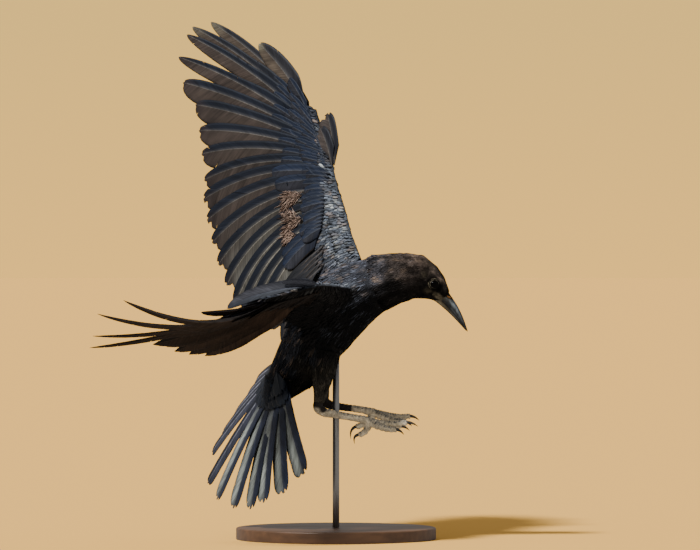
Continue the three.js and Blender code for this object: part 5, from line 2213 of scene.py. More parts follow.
@dataclass(frozen=True)
class Mandible:
    """One half of the bill, between its outline and the line of the mouth."""

    name: str
    outline: Sequence[tuple[float, float]]
    wide: Sequence[float]
    is_upper: bool
    rings: int = 44
    sides: int = 18

    def build(self) -> bpy.types.Object:
        """Makes the half with its ridge, its flat sides and its cutting edge.

        Returns:
            The half of the bill.
        """
        t = np.linspace(0, 1, self.rings) ** 0.9
        high, low = cubic(self.outline, t), cubic(MOUTH_LINE, t)
        low = low - (high - low) * 0.03
        wide = np.interp(t, np.linspace(0, 1, len(self.wide)), self.wide)
        share = np.linspace(0, 1, self.sides)
        ridge = np.sin(share**0.72 * math.pi / 2) ** 0.85
        down = np.concatenate([share, share[::-1][:-1]])[1:]
        side = np.concatenate([ridge, -ridge[::-1][:-1]])[1:]
        inward = 1 - 0.1 * np.exp(-((down - 0.62) / 0.2) ** 2)
        flat = high[:, None, :] + (low - high)[:, None, :] * down[None, :, None]
        across = HEAD_MIDDLE - wide[:, None] * (side * inward)[None, :]
        rings = np.stack([flat[..., 0], across, flat[..., 1]], -1)
        shells = Shells()
        vane = np.stack(np.broadcast_arrays(side[None, :] * 0.5, t[:, None]), -1)
        shells.add_tube(rings, self.tones(rings, t, down), vane)
        return hand_over(shells.mesh(f"{self.name}_horn"), ["horn"], "bill", self.name)

    def tones(self, rings: np.ndarray, t: np.ndarray, down: np.ndarray) -> np.ndarray:
        """The horn's colours, with a bare tan base that ends in patches and a dark tip, a painted highlight
        and a painted bluish sky reflection on the upper half, and painted shade along the mouth line.

        Args:
            rings: The points of the half's rings.
            t: How far along the bill each ring is.
            down: How far each column is from the ridge to the cutting edge.

        Returns:
            Linear colours of the rings' points.
        """
        dark, tan = np.array(linear(20, 20, 20)), linear(122, 113, 93)
        spots = rings.reshape(-1, 3)
        patchy = (mottled(spots, 3.4, 31) + 0.6 * mottled(spots, 1.6, 32)).reshape(*rings.shape[:2], 1)
        share, tones = down[:, None], np.zeros_like(rings)
        for i, along in enumerate(t):
            if self.is_upper:
                # Bluish towards the ridge: painted reflection of the sky.
                tone = between(linear(64, 67, 70), linear(50, 56, 68), 1 - smoothstep(share, 0.15, 0.4))
                # Darker along the mouth line: painted shade where the halves meet.
                tone = tone * (1 - 0.8 * np.exp(-((share - 0.95) / 0.16) ** 2))
                # A pale patch on the side: painted highlight.
                pale = np.exp(-((share - 0.36) / 0.15) ** 2) * math.exp(-((along - 0.42) / 0.24) ** 2)
                tone = between(tone, linear(136, 146, 152), 0.8 * pale)
                streak = np.exp(-((share - 0.66) / 0.08) ** 2) * smoothstep(along, 0.3, 0.5)
                tone = tone * (1 - 0.6 * streak)
                bare = (1 - smoothstep(along + 0.05 * patchy[i], 0.16, 0.36)) * smoothstep(share, 0.3, 0.6)
            else:
                low = smoothstep(share, 0.0, 0.32)
                tone = between(dark * 1.6, linear(70, 69, 65), low)
                # Darker along the mouth line: painted shade where the halves meet.
                tone = tone * (1 - 0.75 * np.exp(-((share - 1.0) / 0.12) ** 2))
                bare = (1 - smoothstep(along + 0.06 * patchy[i], 0.3, 0.62)) * low
            tone = between(tone, dark, 0.72 * smoothstep(along, 0.55, 1.0))
            tones[i] = between(tone, tan, bare) * np.clip(1 + 0.26 * patchy[i], 0.4, 1.7)
        return tones


@dataclass
class Head:
    """The bill, the eyes, and the stiff bristles over the nostrils and at the gape."""

    planter: Planter
    skin: Skin
    seed: int = 23
    bristle_count: int = 520
    bristle_lengths: tuple[float, float] = (5.5, 9.0)
    bristle_width: float = 0.95
    bristle_rise: float = 3.0
    patch_half: float = 9.6
    patch_drop: float = 12.0

    def build(self) -> list[bpy.types.Object]:
        """Makes all that the head carries.

        Returns:
            The pieces.
        """
        upper = Mandible("bill_upper", ((131, 300), (141, 291), (152, 273), (157.9, 248.6)),
                         (7.5, 7, 6, 4.7, 3.1, 0.7), True)
        lower = Mandible("bill_lower", ((111, 290), (128, 279.5), (141, 266), (155.6, 249.9)),
                         (6.6, 6.1, 5.2, 4, 2.5, 0.6), False)
        return [upper.build(), lower.build(), *Eye(1).build(), *Eye(-1).build(), self.bristles()]

    def bristles(self) -> bpy.types.Object:
        """The wedge of dark bristles that lies forward over the nostrils.

        Returns:
            The wedge.
        """
        rng = np.random.default_rng(self.seed)
        count = self.bristle_count
        share, spread = rng.random(count) ** 0.8, rng.uniform(-1, 1, count)
        culmen, side = cubic(CULMEN, share * 0.9), np.sign(spread)
        drop = np.abs(spread) ** 1.2
        at = np.stack([culmen[:, 0], np.full(count, HEAD_MIDDLE), culmen[:, 1]], 1)
        at += unit(np.array((-0.72, 0.0, -0.69))) * (drop * (self.patch_drop - 10.0 * share))[:, None]
        at[:, 1] += side * (self.patch_half - 2.6 * share) * np.sin(np.abs(spread) * math.pi / 2)
        normal = unit(np.stack([0.6 * (1 - drop), side * (0.2 + drop), 0.7 * (1 - drop)], 1))
        way = np.tile(unit(np.array((0.6, 0.0, -0.8))), (count, 1))
        way[:, 1] += side * -0.12
        tone = np.array(linear(30, 28, 26)) * rng.uniform(0.4, 1.5, (count, 1))
        tone = np.where((rng.random(count) < 0.2 * drop)[:, None], linear(88, 82, 66), tone)
        tone = np.where(((drop > 0.86) & (share > 0.35))[:, None], linear(150, 104, 56), tone)
        length = rng.uniform(*self.bristle_lengths, count) * (1.1 - 0.5 * share)
        roots = Roots(at, unit(way), normal, length, np.full(count, self.bristle_width),
                      np.full(count, self.bristle_rise), tone, self.skin.nearest_maps(at))
        hair = SmallFeather(barbs=3, fray=0.2, bend=0.12, cup=0.2, thick=0.03, point=0.45)
        return self.planter.plant("nasal_bristles", roots, hair.build("bristle", 9), "coat", self.seed)


# ---- Down --------------------------------------------------------------------------------------------------
@dataclass
class Down:
    """The pale pinkish down that shows where the left wing's greater coverts are in moult."""

    wing: Wing
    planter: Planter
    skin: Skin
    seed: int = 31
    points: Sequence[tuple[Vec3, tuple[int, int]]] = (
        ((-39, 88.7, 413), (2, 3)), ((-39, 79, 381), (3, 5)), ((-45, 78.7, 364), (5, 6)))
    strands: int = 460
    lift: float = 6.5
    scatter: float = 1.3
    starts: tuple[float, float] = (-0.05, 0.62)
    goals: tuple[float, float] = (0.3, 0.42)
    goal_lifts: tuple[float, float] = (2.0, 4.0)
    lengths: tuple[float, float] = (4, 15)
    widths: tuple[float, float] = (0.45, 1.0)

    def build(self) -> bpy.types.Object:
        """Plants tufts of down that each spread from one point over the bases of the bare secondaries.

        Returns:
            The down.
        """
        rng = np.random.default_rng(self.seed)
        shafts = self.wing.secondary_shafts()
        at, way, length = [], [], []
        for point, (first, last) in self.points:
            apex = np.array(point) + self.wing.upper * self.lift
            for _ in range(self.strands):
                base = rng.uniform(first - 0.4, last + 0.4)
                low = int(np.clip(math.floor(base), 0, len(shafts) - 2))
                shaft = shafts[low].toward(shafts[low + 1], base - low)
                goal = shaft.at(np.array(rng.uniform(*self.goals)))
                goal = goal + self.wing.upper * rng.uniform(*self.goal_lifts)
                start = apex + (goal - apex) * rng.uniform(*self.starts) + rng.normal(0, self.scatter, 3)
                at.append(start)
                way.append(goal - start)
                length.append(float(np.linalg.norm(goal - start)) * rng.uniform(0.5, 1.1))
        at, count = np.array(at), len(at)
        tone = between(linear(186, 164, 150), linear(124, 100, 88), rng.random((count, 1)))
        tone = tone * rng.uniform(0.6, 1.15, (count, 1))
        roots = Roots(at, unit(np.array(way)), np.tile(self.wing.upper, (count, 1)),
                      np.clip(np.array(length), *self.lengths), rng.uniform(*self.widths, count),
                      np.full(count, 3.0), tone, self.skin.nearest_maps(at))
        strand = SmallFeather(barbs=4, fray=0.7, bend=0.3, cup=0.4, thick=0.02, point=0.55)
        return self.planter.plant("moult_down", roots, strand.build("down", 5), "down", self.seed)


# ---- Legs --------------------------------------------------------------------------------------------------
@dataclass(frozen=True)
class Toe:
    """One toe's line and the two points that its claw bends to."""

    name: str
    path: Sequence[Vec3]
    claw: tuple[Vec3, Vec3]


def rings_round(line: np.ndarray, ahead: np.ndarray, radius: np.ndarray, sides: int,
                wide: float = 1.0) -> np.ndarray:
    """Rings of points round a line.

    Args:
        line: The middles of the rings.
        ahead: The line's unit direction at each ring.
        radius: The radius of each ring.
        sides: Points of each ring.
        wide: The rings' width as a share of their height.

    Returns:
        Points, as rings by sides by 3.
    """
    side = unit(np.array((0, 1, 0)) - ahead * ahead[:, 1:2])
    up = np.cross(ahead, side)
    turn = np.linspace(0, 2 * math.pi, sides, endpoint=False)
    ring = side[:, None] * np.cos(turn)[None, :, None] * wide + up[:, None] * np.sin(turn)[None, :, None]
    return line[:, None] + ring * radius[:, None, None]


@dataclass
class Leg:
    """A tarsus and foot in one scaly skin, with four claws."""

    name: str
    tarsus: Sequence[tuple[float, float, float, float]]
    toes: Sequence[Toe]
    shaded_to: float
    toe_radii: Sequence[float] = (4.8, 3.9, 3.5, 3.1)
    claw_radius: float = 2.0
    shank: Vec3 = (0.18, 0, 0.98)
    heel: Sequence[tuple[float, float]] = ((15, 4.6), (10, 5.4), (5, 5.8), (1.5, 6.2))
    voxel: float = 0.00075
    tube_sides: int = 14
    tube_step: float = 1.4
    scute: float = 4.6
    toe_scute: float = 3.0
    groove: float = 0.5
    plate_rise: float = 0.3
    pad: float = 6.0
    pad_rise: float = 0.8
    claw_rings: int = 18
    claw_wide: float = 0.8

    def lines(self) -> list[np.ndarray]:
        """The line of the tarsus with its heel, and the lines of the toes, as x, y, z and radius.

        Returns:
            The lines.
        """
        shin = np.array(self.tarsus, float)
        top = shin[0, :3] + unit(shin[0, :3] - shin[1, :3]) * 1.5
        heel = [(*(top + np.array(self.shank) * step), radius) for step, radius in self.heel]
        toes = [[(*p, r) for p, r in zip(toe.path, self.toe_radii)] for toe in self.toes]
        return [np.vstack([np.array(heel), shin]), *(np.array(toe, float) for toe in toes)]

    def tube(self, stations: np.ndarray) -> np.ndarray:
        """Rings round a line of x, y, z, radius stations, smoothed to short steps.

        Args:
            stations: Rows of x, y, z and radius.

        Returns:
            The rings.
        """
        gaps = np.linalg.norm(np.diff(stations[:, :3], axis=0), axis=1)
        gaps = np.concatenate([[0], np.cumsum(gaps)])
        steps = np.linspace(0, gaps[-1], max(8, int(gaps[-1] / self.tube_step)))
        smooth = np.stack([np.interp(steps, gaps, stations[:, k]) for k in range(4)], 1)
        for _ in range(4):
            smooth[1:-1] = (smooth[:-2] + 2 * smooth[1:-1] + smooth[2:]) / 4
        ahead = unit(np.gradient(smooth[:, :3], axis=0))
        return rings_round(smooth[:, :3], ahead, smooth[:, 3], self.tube_sides)

    def melted(self, lines: list[np.ndarray]) -> bpy.types.Mesh:
        """One skin melted from tubes round the lines.

        Args:
            lines: Lines of x, y, z and radius.

        Returns:
            The mesh.
        """
        points, faces = [], []
        for line in lines:
            rings = self.tube(line)
            start, (count, sides, _) = len(points), rings.shape
            points += [tuple(p) for p in (rings.reshape(-1, 3) * MM).tolist()]
            for r in range(start, start + (count - 1) * sides, sides):
                faces += [[r + s, r + (s + 1) % sides, r + sides + (s + 1) % sides, r + sides + s]
                          for s in range(sides)]
            faces.append([start + s for s in range(sides)][::-1])
            faces.append([start + (count - 1) * sides + s for s in range(sides)])
        return remeshed(f"leg_{self.name}", points, faces, self.voxel, 4)

    def scaly(self) -> bpy.types.Object:
        """Melts the tarsus, the pad and the toes into one skin and raises its scutes and pads.

        Returns:
            The piece.
        """
        lines = self.lines()
        mesh = self.melted(lines)
        at, normals = arrays_of(mesh)
        nearest, along, kind = np.full(len(at), 1e9), np.zeros(len(at)), np.zeros(len(at), int)
        for k, line in enumerate(lines):
            run = 0.0
            for a, b in zip(line[:, :3], line[1:, :3]):
                span = np.linalg.norm(b - a)
                t = np.clip(((at - a) @ (b - a)) / span**2, 0, 1)
                gap = np.linalg.norm(at - (a + t[:, None] * (b - a)), axis=1)
                closer = gap < nearest
                nearest[closer], along[closer], kind[closer] = gap[closer], (run + t * span)[closer], k
                run += span
        phase = (along / np.where(kind == 0, self.scute, self.toe_scute)) % 1.0
        front = smoothstep(normals[:, 2], 0.0, 0.55)
        sole = smoothstep(-normals[:, 2], 0.1, 0.7) * (kind > 0)
        groove = np.exp(-(np.minimum(phase, 1 - phase) / 0.1) ** 2)
        bulge = np.sin(along / self.pad * 2 * math.pi) * 0.5 + 0.5
        rough = mottled(at, 1.5, 2) * 0.13 + mottled(at, 3.4, 3) * 0.14
        shift = (-self.groove * groove * front + self.plate_rise * phase * front
                 + self.pad_rise * bulge * sole + rough * (1 - 0.6 * front))
        move(mesh, at + normals * shift[:, None])
        tint(mesh, self.tones(at, front, groove, kind))
        return hand_over(placed(f"leg_{self.name}_scales", mesh), ["scales"], "leg_scales",
                         f"leg_{self.name}_tarsus", f"leg_{self.name}_foot")

    def tones(self, at: np.ndarray, front: np.ndarray, groove: np.ndarray, kind: np.ndarray) -> np.ndarray:
        """The colours: grey scutes, the rest tan with dust, and the heel and part of the tarsus dark.

        Args:
            at: The skin's points.
            front: How far each one is on the front of its leg or toe.
            groove: How near each one is to a groove between scutes.
            kind: 0 on the tarsus, and the number of the toe elsewhere.

        Returns:
            Linear colours.
        """
        rng = np.random.default_rng(len(at))
        dust = np.clip(0.45 + 0.42 * mottled(at, 2.6, 7) + 0.3 * mottled(at, 1.3, 8), 0, 1)
        plate = np.clip((0.15 + front) * (1 - 0.9 * groove), 0, 1) * (0.25 + 0.75 * dust)
        tone = between(linear(246, 231, 200), linear(98, 104, 110), plate[:, None])
        tone *= (0.86 + 0.2 * mottled(at, 5, 9))[:, None] * rng.uniform(0.85, 1.12, (len(at), 1))
        dark = 1 - smoothstep(at[:, 0], self.shaded_to - 1.5, self.shaded_to + 1.0)
        heel_x, _, heel_z, _ = self.tarsus[0]
        reach = 6 * np.exp(-((at[:, 0] - heel_x - 6) / 4) ** 2)
        hock = smoothstep(at[:, 2] + reach + 0.9 * mottled(at, 4, 6), heel_z - 2, heel_z + 4)
        dark = (np.maximum(dark, hock) * (kind == 0))[:, None]
        return np.clip(between(tone, linear(36, 31, 30), dark), 0, 1)

    def claws(self) -> list[bpy.types.Object]:
        """Makes the four claws, each a curved cone that starts inside its toe.

        Returns:
            The four claws.
        """
        pieces = []
        t = np.linspace(0, 1, self.claw_rings)
        tone = np.array(linear(40, 43, 46)) * np.linspace(1.5, 0.7, len(t))[:, None, None]
        for toe in self.toes:
            curve = Bow(*(np.array(p, float) for p in (toe.path[-1], *toe.claw)))
            radius = self.claw_radius * (1 - 0.93 * t**1.3)
            rings = rings_round(curve.at(t), curve.ahead(t), radius, self.tube_sides, self.claw_wide)
            shells = Shells()
            shells.add_tube(rings, np.broadcast_to(tone, rings.shape), np.zeros((*rings.shape[:2], 2)))
            name = f"claw_{self.name}_{toe.name}"
            pieces.append(hand_over(shells.mesh(f"{name}_horn"), ["claw"], "claw", name))
        return pieces

    def build(self) -> list[bpy.types.Object]:
        """Makes the scaly skin and the claws."""
        return [self.scaly(), *self.claws()]


LEGS = (
    Leg("right", ((-21, -30, 157, 6.0), (-14, -30.5, 152.5, 5.4), (4, -31, 149.5, 4.4), (24, -31, 146, 4.3),
                  (38, -31, 143, 5.2)),
        (Toe("middle", ((39, -31, 142), (56, -33, 139.5), (70, -35, 139), (85, -36, 141)),
             ((92, -36.5, 141), (98, -37, 136))),
         Toe("outer", ((39, -31, 142), (52, -38, 136), (63, -42, 133), (72, -44, 133)),
             ((78, -45, 131.5), (81, -46, 126.5))),
         Toe("inner", ((39, -31, 142), (53, -25, 137), (66, -21, 135), (78, -19, 136)),
             ((84, -18, 135.5), (88, -17.5, 130.5))),
         Toe("hind", ((39, -31, 142), (38, -31, 134), (33, -31, 128), (27, -31, 126)),
             ((19.5, -31, 125), (22.5, -31, 115)))), shaded_to=-60),
    Leg("left", ((-14, 17, 164, 6.0), (-7, 17, 160, 5.2), (10, 17, 157.5, 4.2), (30, 17, 155, 4.2),
                 (45, 17, 151.5, 5.2)),
        (Toe("middle", ((46, 17, 151), (62, 18, 148), (76, 19, 146), (89, 20, 147)),
             ((96, 20.5, 146.5), (100, 21, 141.5))),
         Toe("outer", ((46, 17, 151), (59, 24, 145), (70, 28, 142), (80, 30, 142)),
             ((86, 31, 140.5), (89, 32, 135.5))),
         Toe("inner", ((46, 17, 151), (60, 11, 145), (72, 7, 141.5), (82, 5, 141.5)),
             ((88, 4, 140), (91, 3.5, 135))),
         Toe("hind", ((46, 17, 151), (40, 16, 141), (31, 15, 136), (24, 14.5, 134.5)),
             ((15.5, 14, 131.5), (18, 14, 119)))), shaded_to=19),
)


# ---- Stand -------------------------------------------------------------------------------------------------
@dataclass(frozen=True)
class Stand:
    """A flat round base of wood and one steel rod up into the belly."""

    radius: float = 120
    height: float = 14
    bevel: float = 2
    low_bevel: float = 0.8
    sides: int = 128
    rod_radius: float = 4
    rod_bevel: float = 0.4
    rod_gap: float = 0.3
    rod_x: float = 0
    rod_y: float = -6
    rod_top: float = 226

    def build(self) -> list[bpy.types.Object]:
        """Makes the base and the rod.

        Returns:
            The pieces.
        """
        top, r, small = self.height, self.rod_radius, self.low_bevel
        arc = np.linspace(0, math.pi / 2, 7)
        low = [(self.radius - small * (1 - math.sin(a)), small * (1 - math.cos(a))) for a in arc]
        edge = [(self.radius - self.bevel * (1 - math.cos(a)), top - self.bevel * (1 - math.sin(a)))
                for a in arc]
        profile = [(0, 0), (self.radius * 0.5, 0), *low, *edge, (self.radius * 0.5, top), (0, top)]
        base = turned("stand_base_wood", profile, self.sides, Matrix.Identity(4))
        foot, edge = top + self.rod_gap, self.rod_bevel
        profile = [(0, foot), (r - edge, foot), (r, foot + edge), (r, foot + 60), (r, foot + 130),
                   (r, self.rod_top), (0, self.rod_top)]
        rod = turned("stand_rod_steel", profile, 40, Matrix.Translation((self.rod_x, self.rod_y, 0)))
        return [hand_over(base, ["wood"], "stand_wood", "stand_base"),
                hand_over(rod, ["steel"], "stand_metal", "stand_rod")]


# ---- Finishes ----------------------------------------------------------------------------------------------


GRAIN_GAIN = 2.6
LEAST_SHADE = 0.05


def grain_group() -> bpy.types.NodeTree:
    """The shared effect of fine streaks and mottling: it shades a colour and gives roughness and height.

    Returns:
        The group.
    """
    group = bpy.data.node_groups.new("Grain", "ShaderNodeTree")
    t = Tree(group)
    t.socket("Colour", "Color")
    t.socket("Place", "Vector")
    for title, value in (("Scale", 60.0), ("Mottle Scale", 10.0), ("Strength", 0.3), ("Mottle", 0.2),
                         ("Rough Low", 0.35), ("Rough High", 0.6)):
        t.socket(title, "Float", value=value)
    for title, kind in (("Colour", "Color"), ("Roughness", "Float"), ("Height", "Float")):
        t.socket(title, kind, "OUTPUT")
    start, end = t.node("NodeGroupInput"), t.node("NodeGroupOutput")
    fine, wide = t.node("ShaderNodeTexNoise"), t.node("ShaderNodeTexNoise")
    for noise, scale in ((fine, "Scale"), (wide, "Mottle Scale")):
        t.join(start.outputs["Place"], noise.inputs["Vector"])
        t.join(start.outputs[scale], noise.inputs["Scale"])
        noise.inputs["Detail"].default_value = 3.0
    fine_part = t.maths("MULTIPLY", t.maths("SUBTRACT", fine.outputs["Fac"], 0.5), start.outputs["Strength"])
    wide_part = t.maths("MULTIPLY", t.maths("SUBTRACT", wide.outputs["Fac"], 0.5), start.outputs["Mottle"])
    factor = t.maths("ADD", t.maths("MULTIPLY", t.maths("ADD", fine_part, wide_part), GRAIN_GAIN), 1.0)
    shade = t.maths("MAXIMUM", factor, LEAST_SHADE)
    t.join(t.scaled(start.outputs["Colour"], shade), end.inputs["Colour"])
    spread = t.maths("SUBTRACT", start.outputs["Rough High"], start.outputs["Rough Low"])
    t.join(t.maths("ADD", start.outputs["Rough Low"], t.maths("MULTIPLY", wide.outputs["Fac"], spread)),
           end.inputs["Roughness"])
    t.join(fine.outputs["Fac"], end.inputs["Height"])
    return group


def rim_group() -> bpy.types.NodeTree:
    """The shared effect that darkens a small feather's root and edges, as painted shade where the feathers
    overlap, so that each one reads as a scale.

    Returns:
        The group.
    """
    group = bpy.data.node_groups.new("Rim", "ShaderNodeTree")
    t = Tree(group)
    t.socket("Colour", "Color")
    t.socket("Place", "Vector")
    t.socket("Amount", "Float", value=0.5)
    t.socket("Colour", "Color", "OUTPUT")
    start, end = t.node("NodeGroupInput"), t.node("NodeGroupOutput")
    parts = t.node("ShaderNodeSeparateXYZ")
    t.join(start.outputs["Place"], parts.inputs["Vector"])
    across = t.maths("ABSOLUTE", t.maths("SUBTRACT", parts.outputs["X"], 0.5))
    rim = t.maths("ADD", t.mapped(across, 0.2, 0.48), t.mapped(parts.outputs["Y"], 0.84, 1.0, to_high=0.8))
    rim = t.maths("ADD", rim, t.mapped(parts.outputs["Y"], 0.6, 0.1, to_high=0.9))
    rim = t.maths("MINIMUM", rim, 1.0)
    factor = t.maths("SUBTRACT", 1.15, t.maths("MULTIPLY", rim, start.outputs["Amount"]))
    shade = t.maths("MAXIMUM", factor, LEAST_SHADE)
    t.join(t.scaled(start.outputs["Colour"], shade), end.inputs["Colour"])
    return group


class Pattern(Enum):
    """What a finish's grain follows."""

    VANE = "the barbs of a feather"
    OBJECT = "the object itself"


@dataclass(frozen=True)
class Finish:
    """A finish whose colour comes from the piece's own tones, with grain over it."""

    name: str
    pattern: Pattern = Pattern.OBJECT
    stretch: Vec3 = (1, 1, 1)
    scale: float = 60.0
    mottle_scale: float = 10.0
    strength: float = 0.3
    mottle: float = 0.2
    rough: tuple[float, float] = (0.35, 0.6)
    bump: float = 0.3
    bump_distance: float = 0.0003
    base: Colour | None = None
    metallic: float = 0.0
    specular: float = 0.5
    tint: Colour = (1.0, 1.0, 1.0)
    rim: float = 0.0
    seen: Colour | None = None

    def build(self, group: bpy.types.NodeTree, rim: bpy.types.NodeTree) -> bpy.types.Material:
        """Makes the material from the shared groups for grain and rim.

        Args:
            group: The shared grain.
            rim: The shared rim.

        Returns:
            The material.
        """
        material = bpy.data.materials.new(self.name)
        material.use_nodes = True
        t = Tree(material.node_tree)
        shader = material.node_tree.nodes["Principled BSDF"]
        grain = t.node("ShaderNodeGroup", node_tree=group)
        if self.pattern is Pattern.VANE:
            source = t.node("ShaderNodeUVMap", uv_map="Vane").outputs["UV"]
        else:
            source = t.node("ShaderNodeTexCoord").outputs["Object"]
        place = t.node("ShaderNodeMapping")
        t.join(source, place.inputs["Vector"])
        t.join(place.outputs["Vector"], grain.inputs["Place"])
        if self.base is None:
            tone = t.node("ShaderNodeAttribute", attribute_name=TONES)
            t.join(tone.outputs["Color"], grain.inputs["Colour"])
        else:
            grain.inputs["Colour"].default_value = (*self.base, 1)
        colour = grain.outputs["Colour"]
        if self.rim:
            edge = t.node("ShaderNodeGroup", node_tree=rim)
            t.join(colour, edge.inputs["Colour"])
            t.join(source, edge.inputs["Place"])
            edge.inputs["Amount"].default_value = self.rim
            colour = edge.outputs["Colour"]
        if self.seen is not None:
            swap = t.node("ShaderNodeMix", data_type="RGBA")
            t.join(t.node("ShaderNodeLightPath").outputs["Is Camera Ray"], swap.inputs[0])
            t.join(colour, swap.inputs[6])
            swap.inputs[7].default_value = (*self.seen, 1)
            colour = swap.outputs[2]
        t.join(colour, shader.inputs["Base Color"])
        t.join(grain.outputs["Roughness"], shader.inputs["Roughness"])
        bump = t.node("ShaderNodeBump")
        t.join(grain.outputs["Height"], bump.inputs["Height"])
        t.join(bump.outputs["Normal"], shader.inputs["Normal"])
        for node, values in (
                (place, {"Scale": self.stretch}),
                (bump, {"Strength": self.bump, "Distance": self.bump_distance}),
                (grain, {"Scale": self.scale, "Mottle Scale": self.mottle_scale, "Strength": self.strength,
                         "Mottle": self.mottle, "Rough Low": self.rough[0], "Rough High": self.rough[1]}),
                (shader, {"Metallic": self.metallic, "Specular IOR Level": self.specular,
                          "Specular Tint": (*self.tint, 1)})):
            for title, value in values.items():
                node.inputs[title].default_value = value
        return material


FINISH_LIST = (
    Finish("vane_upper", Pattern.VANE, (3, 55, 1), scale=1.0, mottle_scale=0.12, strength=0.7, mottle=0.5,
           rough=(0.42, 0.66), bump=0.4, specular=0.2, tint=(0.8, 0.88, 1.0)),
    Finish("vane_under", Pattern.VANE, (3, 55, 1), scale=1.0, mottle_scale=0.12, strength=0.6, mottle=0.45,
           rough=(0.55, 0.8), bump=0.35, specular=0.1),
    Finish("coat", Pattern.VANE, (14, 1.2, 1), scale=1.0, mottle_scale=0.7, strength=0.7, mottle=0.3,
           rough=(0.5, 0.7), bump=0.3, specular=0.13, tint=(0.84, 0.9, 1.0), rim=0.4),
    Finish("velvet", Pattern.VANE, (10, 1.2, 1), scale=1.0, mottle_scale=0.7, strength=0.5, mottle=0.3,
           rough=(0.66, 0.85), bump=0.15, specular=0.07, rim=0.1),
    Finish("scaly", Pattern.VANE, (9, 1.5, 1), scale=1.0, mottle_scale=0.8, strength=0.7, mottle=0.5,
           rough=(0.45, 0.65), bump=0.35, specular=0.16, tint=(0.84, 0.9, 1.0), rim=0.42),
    Finish("down", Pattern.VANE, (9, 2, 1), scale=1.0, mottle_scale=1.0, strength=0.5, mottle=0.3,
           rough=(0.7, 0.9), specular=0.2),
    Finish("skin", scale=700, mottle_scale=120, strength=0.5, mottle=0.4,
           rough=(0.6, 0.85), specular=0.15),
    Finish("horn", Pattern.VANE, (16, 3, 1), scale=1.0, mottle_scale=2.0, strength=0.45, mottle=0.4,
           rough=(0.5, 0.7), bump=0.3, bump_distance=0.0002, specular=0.24),
    Finish("lid", scale=1500, mottle_scale=500, strength=0.5, mottle=0.4,
           rough=(0.6, 0.8), specular=0.06),
    Finish("claw", scale=900, mottle_scale=200, strength=0.3, mottle=0.3,
           rough=(0.25, 0.45)),
    Finish("scales", scale=1500, mottle_scale=420, strength=0.6, mottle=0.5,
           rough=(0.6, 0.85), bump=0.6, specular=0.3),
    Finish("eye", scale=300, mottle_scale=80, strength=0.1, mottle=0.1,
           rough=(0.12, 0.18), bump=0.0, base=linear(2, 2, 2), specular=0.07),
    Finish("wood", Pattern.OBJECT, (1.2, 16, 16), scale=9, mottle_scale=3, strength=0.45, mottle=0.4,
           rough=(0.35, 0.55), bump=0.12, base=linear(92, 64, 42)),
    Finish("steel", Pattern.OBJECT, (900, 900, 12), scale=1.0, mottle_scale=0.3, strength=0.12, mottle=0.08,
           rough=(0.34, 0.46), bump=0.04, bump_distance=0.0001, base=linear(150, 152, 154), metallic=1.0),
    Finish("floor", scale=3, mottle_scale=0.8, strength=0.012, mottle=0.012,
           rough=(0.9, 0.98), bump=0.0, base=(0.34, 0.31, 0.27), specular=0.0, seen=(0.83, 0.475, 0.122)),
)


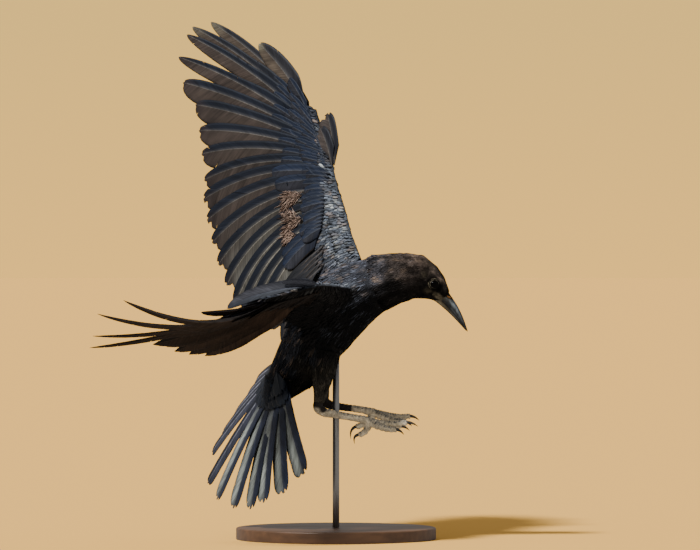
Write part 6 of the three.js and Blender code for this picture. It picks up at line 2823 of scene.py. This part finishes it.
# ---- Studio ------------------------------------------------------------------------------------------------
@dataclass(frozen=True)
class Studio:
    """The floor, the lights and the camera."""

    camera_at: Vec3 = (16.8, -6000, 316.8)
    clip: tuple[float, float] = (0.1, 2000)
    lens: float = 257.14
    sensor: float = 36.0
    floor: float = 500.0
    sun_from: Vec3 = (-0.46, -0.42, 0.78)
    sun_power: float = 5.2
    sun_angle: float = 7.0
    sky_light: Colour = (0.42, 0.4, 0.38)
    sky_seen: Colour = (1.36, 0.775, 0.185)
    sky_high: Colour = (1.16, 0.72, 0.195)
    fade: float = 0.05
    sun_tone: Colour = (1.0, 0.97, 0.92)

    def build(self) -> None:
        """Makes the floor, lights, sky and camera."""
        s = self.floor
        mesh = bpy.data.meshes.new("floor")
        mesh.from_pydata([(-s, -s, 0), (s, -s, 0), (s, s, 0), (-s, s, 0)], [], [(0, 1, 2, 3)])
        ground = placed("floor", mesh)
        ground.data.materials.append(FINISHES["floor"])
        lamp_data = bpy.data.lights.new("sun", "SUN")
        lamp_data.energy, lamp_data.angle = self.sun_power, math.radians(self.sun_angle)
        lamp_data.color = self.sun_tone
        lamp = bpy.data.objects.new("sun", lamp_data)
        lamp.rotation_euler = Vector(self.sun_from).to_track_quat("Z", "Y").to_euler()
        bpy.context.scene.collection.objects.link(lamp)
        bpy.context.scene.world = self.sky()
        data = bpy.data.cameras.new("camera")
        data.lens, data.sensor_width = self.lens, self.sensor
        data.clip_start, data.clip_end = self.clip
        camera = bpy.data.objects.new("camera", data)
        camera.location = [c * MM for c in self.camera_at]
        camera.rotation_euler = (math.pi / 2, 0, 0)
        bpy.context.scene.collection.objects.link(camera)
        bpy.context.scene.camera = camera

    def sky(self) -> bpy.types.World:
        """The world: soft light all round, and behind the bird a plain tone that fades upwards.

        Returns:
            The world.
        """
        world = bpy.data.worlds.new("studio")
        world.use_nodes = True
        t = Tree(world.node_tree)
        end = world.node_tree.nodes["World Output"]
        light = world.node_tree.nodes["Background"]
        light.inputs["Color"].default_value = (*self.sky_light, 1)
        seen = t.node("ShaderNodeBackground")
        height = t.node("ShaderNodeSeparateXYZ")
        t.join(t.node("ShaderNodeTexCoord").outputs["Generated"], height.inputs["Vector"])
        fade = t.node("ShaderNodeMix", data_type="RGBA")
        t.join(t.mapped(height.outputs["Z"], 0.0, self.fade), fade.inputs[0])
        fade.inputs[6].default_value = (*self.sky_seen, 1)
        fade.inputs[7].default_value = (*self.sky_high, 1)
        t.join(fade.outputs[2], seen.inputs["Color"])
        mix = t.node("ShaderNodeMixShader")
        t.join(t.node("ShaderNodeLightPath").outputs["Is Camera Ray"], mix.inputs["Fac"])
        t.join(light.outputs["Background"], mix.inputs[1])
        t.join(seen.outputs["Background"], mix.inputs[2])
        t.join(mix.outputs["Shader"], end.inputs["Surface"])
        return world


def main() -> None:
    """Builds the whole bird and its stand in order."""
    logging.basicConfig(level=logging.INFO, format="%(name)s: %(message)s")
    FRAME.update(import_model())
    grain, rim = grain_group(), rim_group()
    for finish in FINISH_LIST:
        FINISHES[finish.name] = finish.build(grain, rim)
    Studio().build()
    skin = Skin(LieField())
    skin.build()
    planter = Planter(planting_tree())
    Coat(skin, planter).build()
    Head(planter, skin).build()
    wings = (Wing(LEFT, 11), Wing(RIGHT, 12))
    for part in (*wings, Down(wings[0], planter, skin), Tail(), *LEGS, Stand()):
        part.build()
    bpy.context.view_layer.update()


if __name__ == "__main__":
    main()
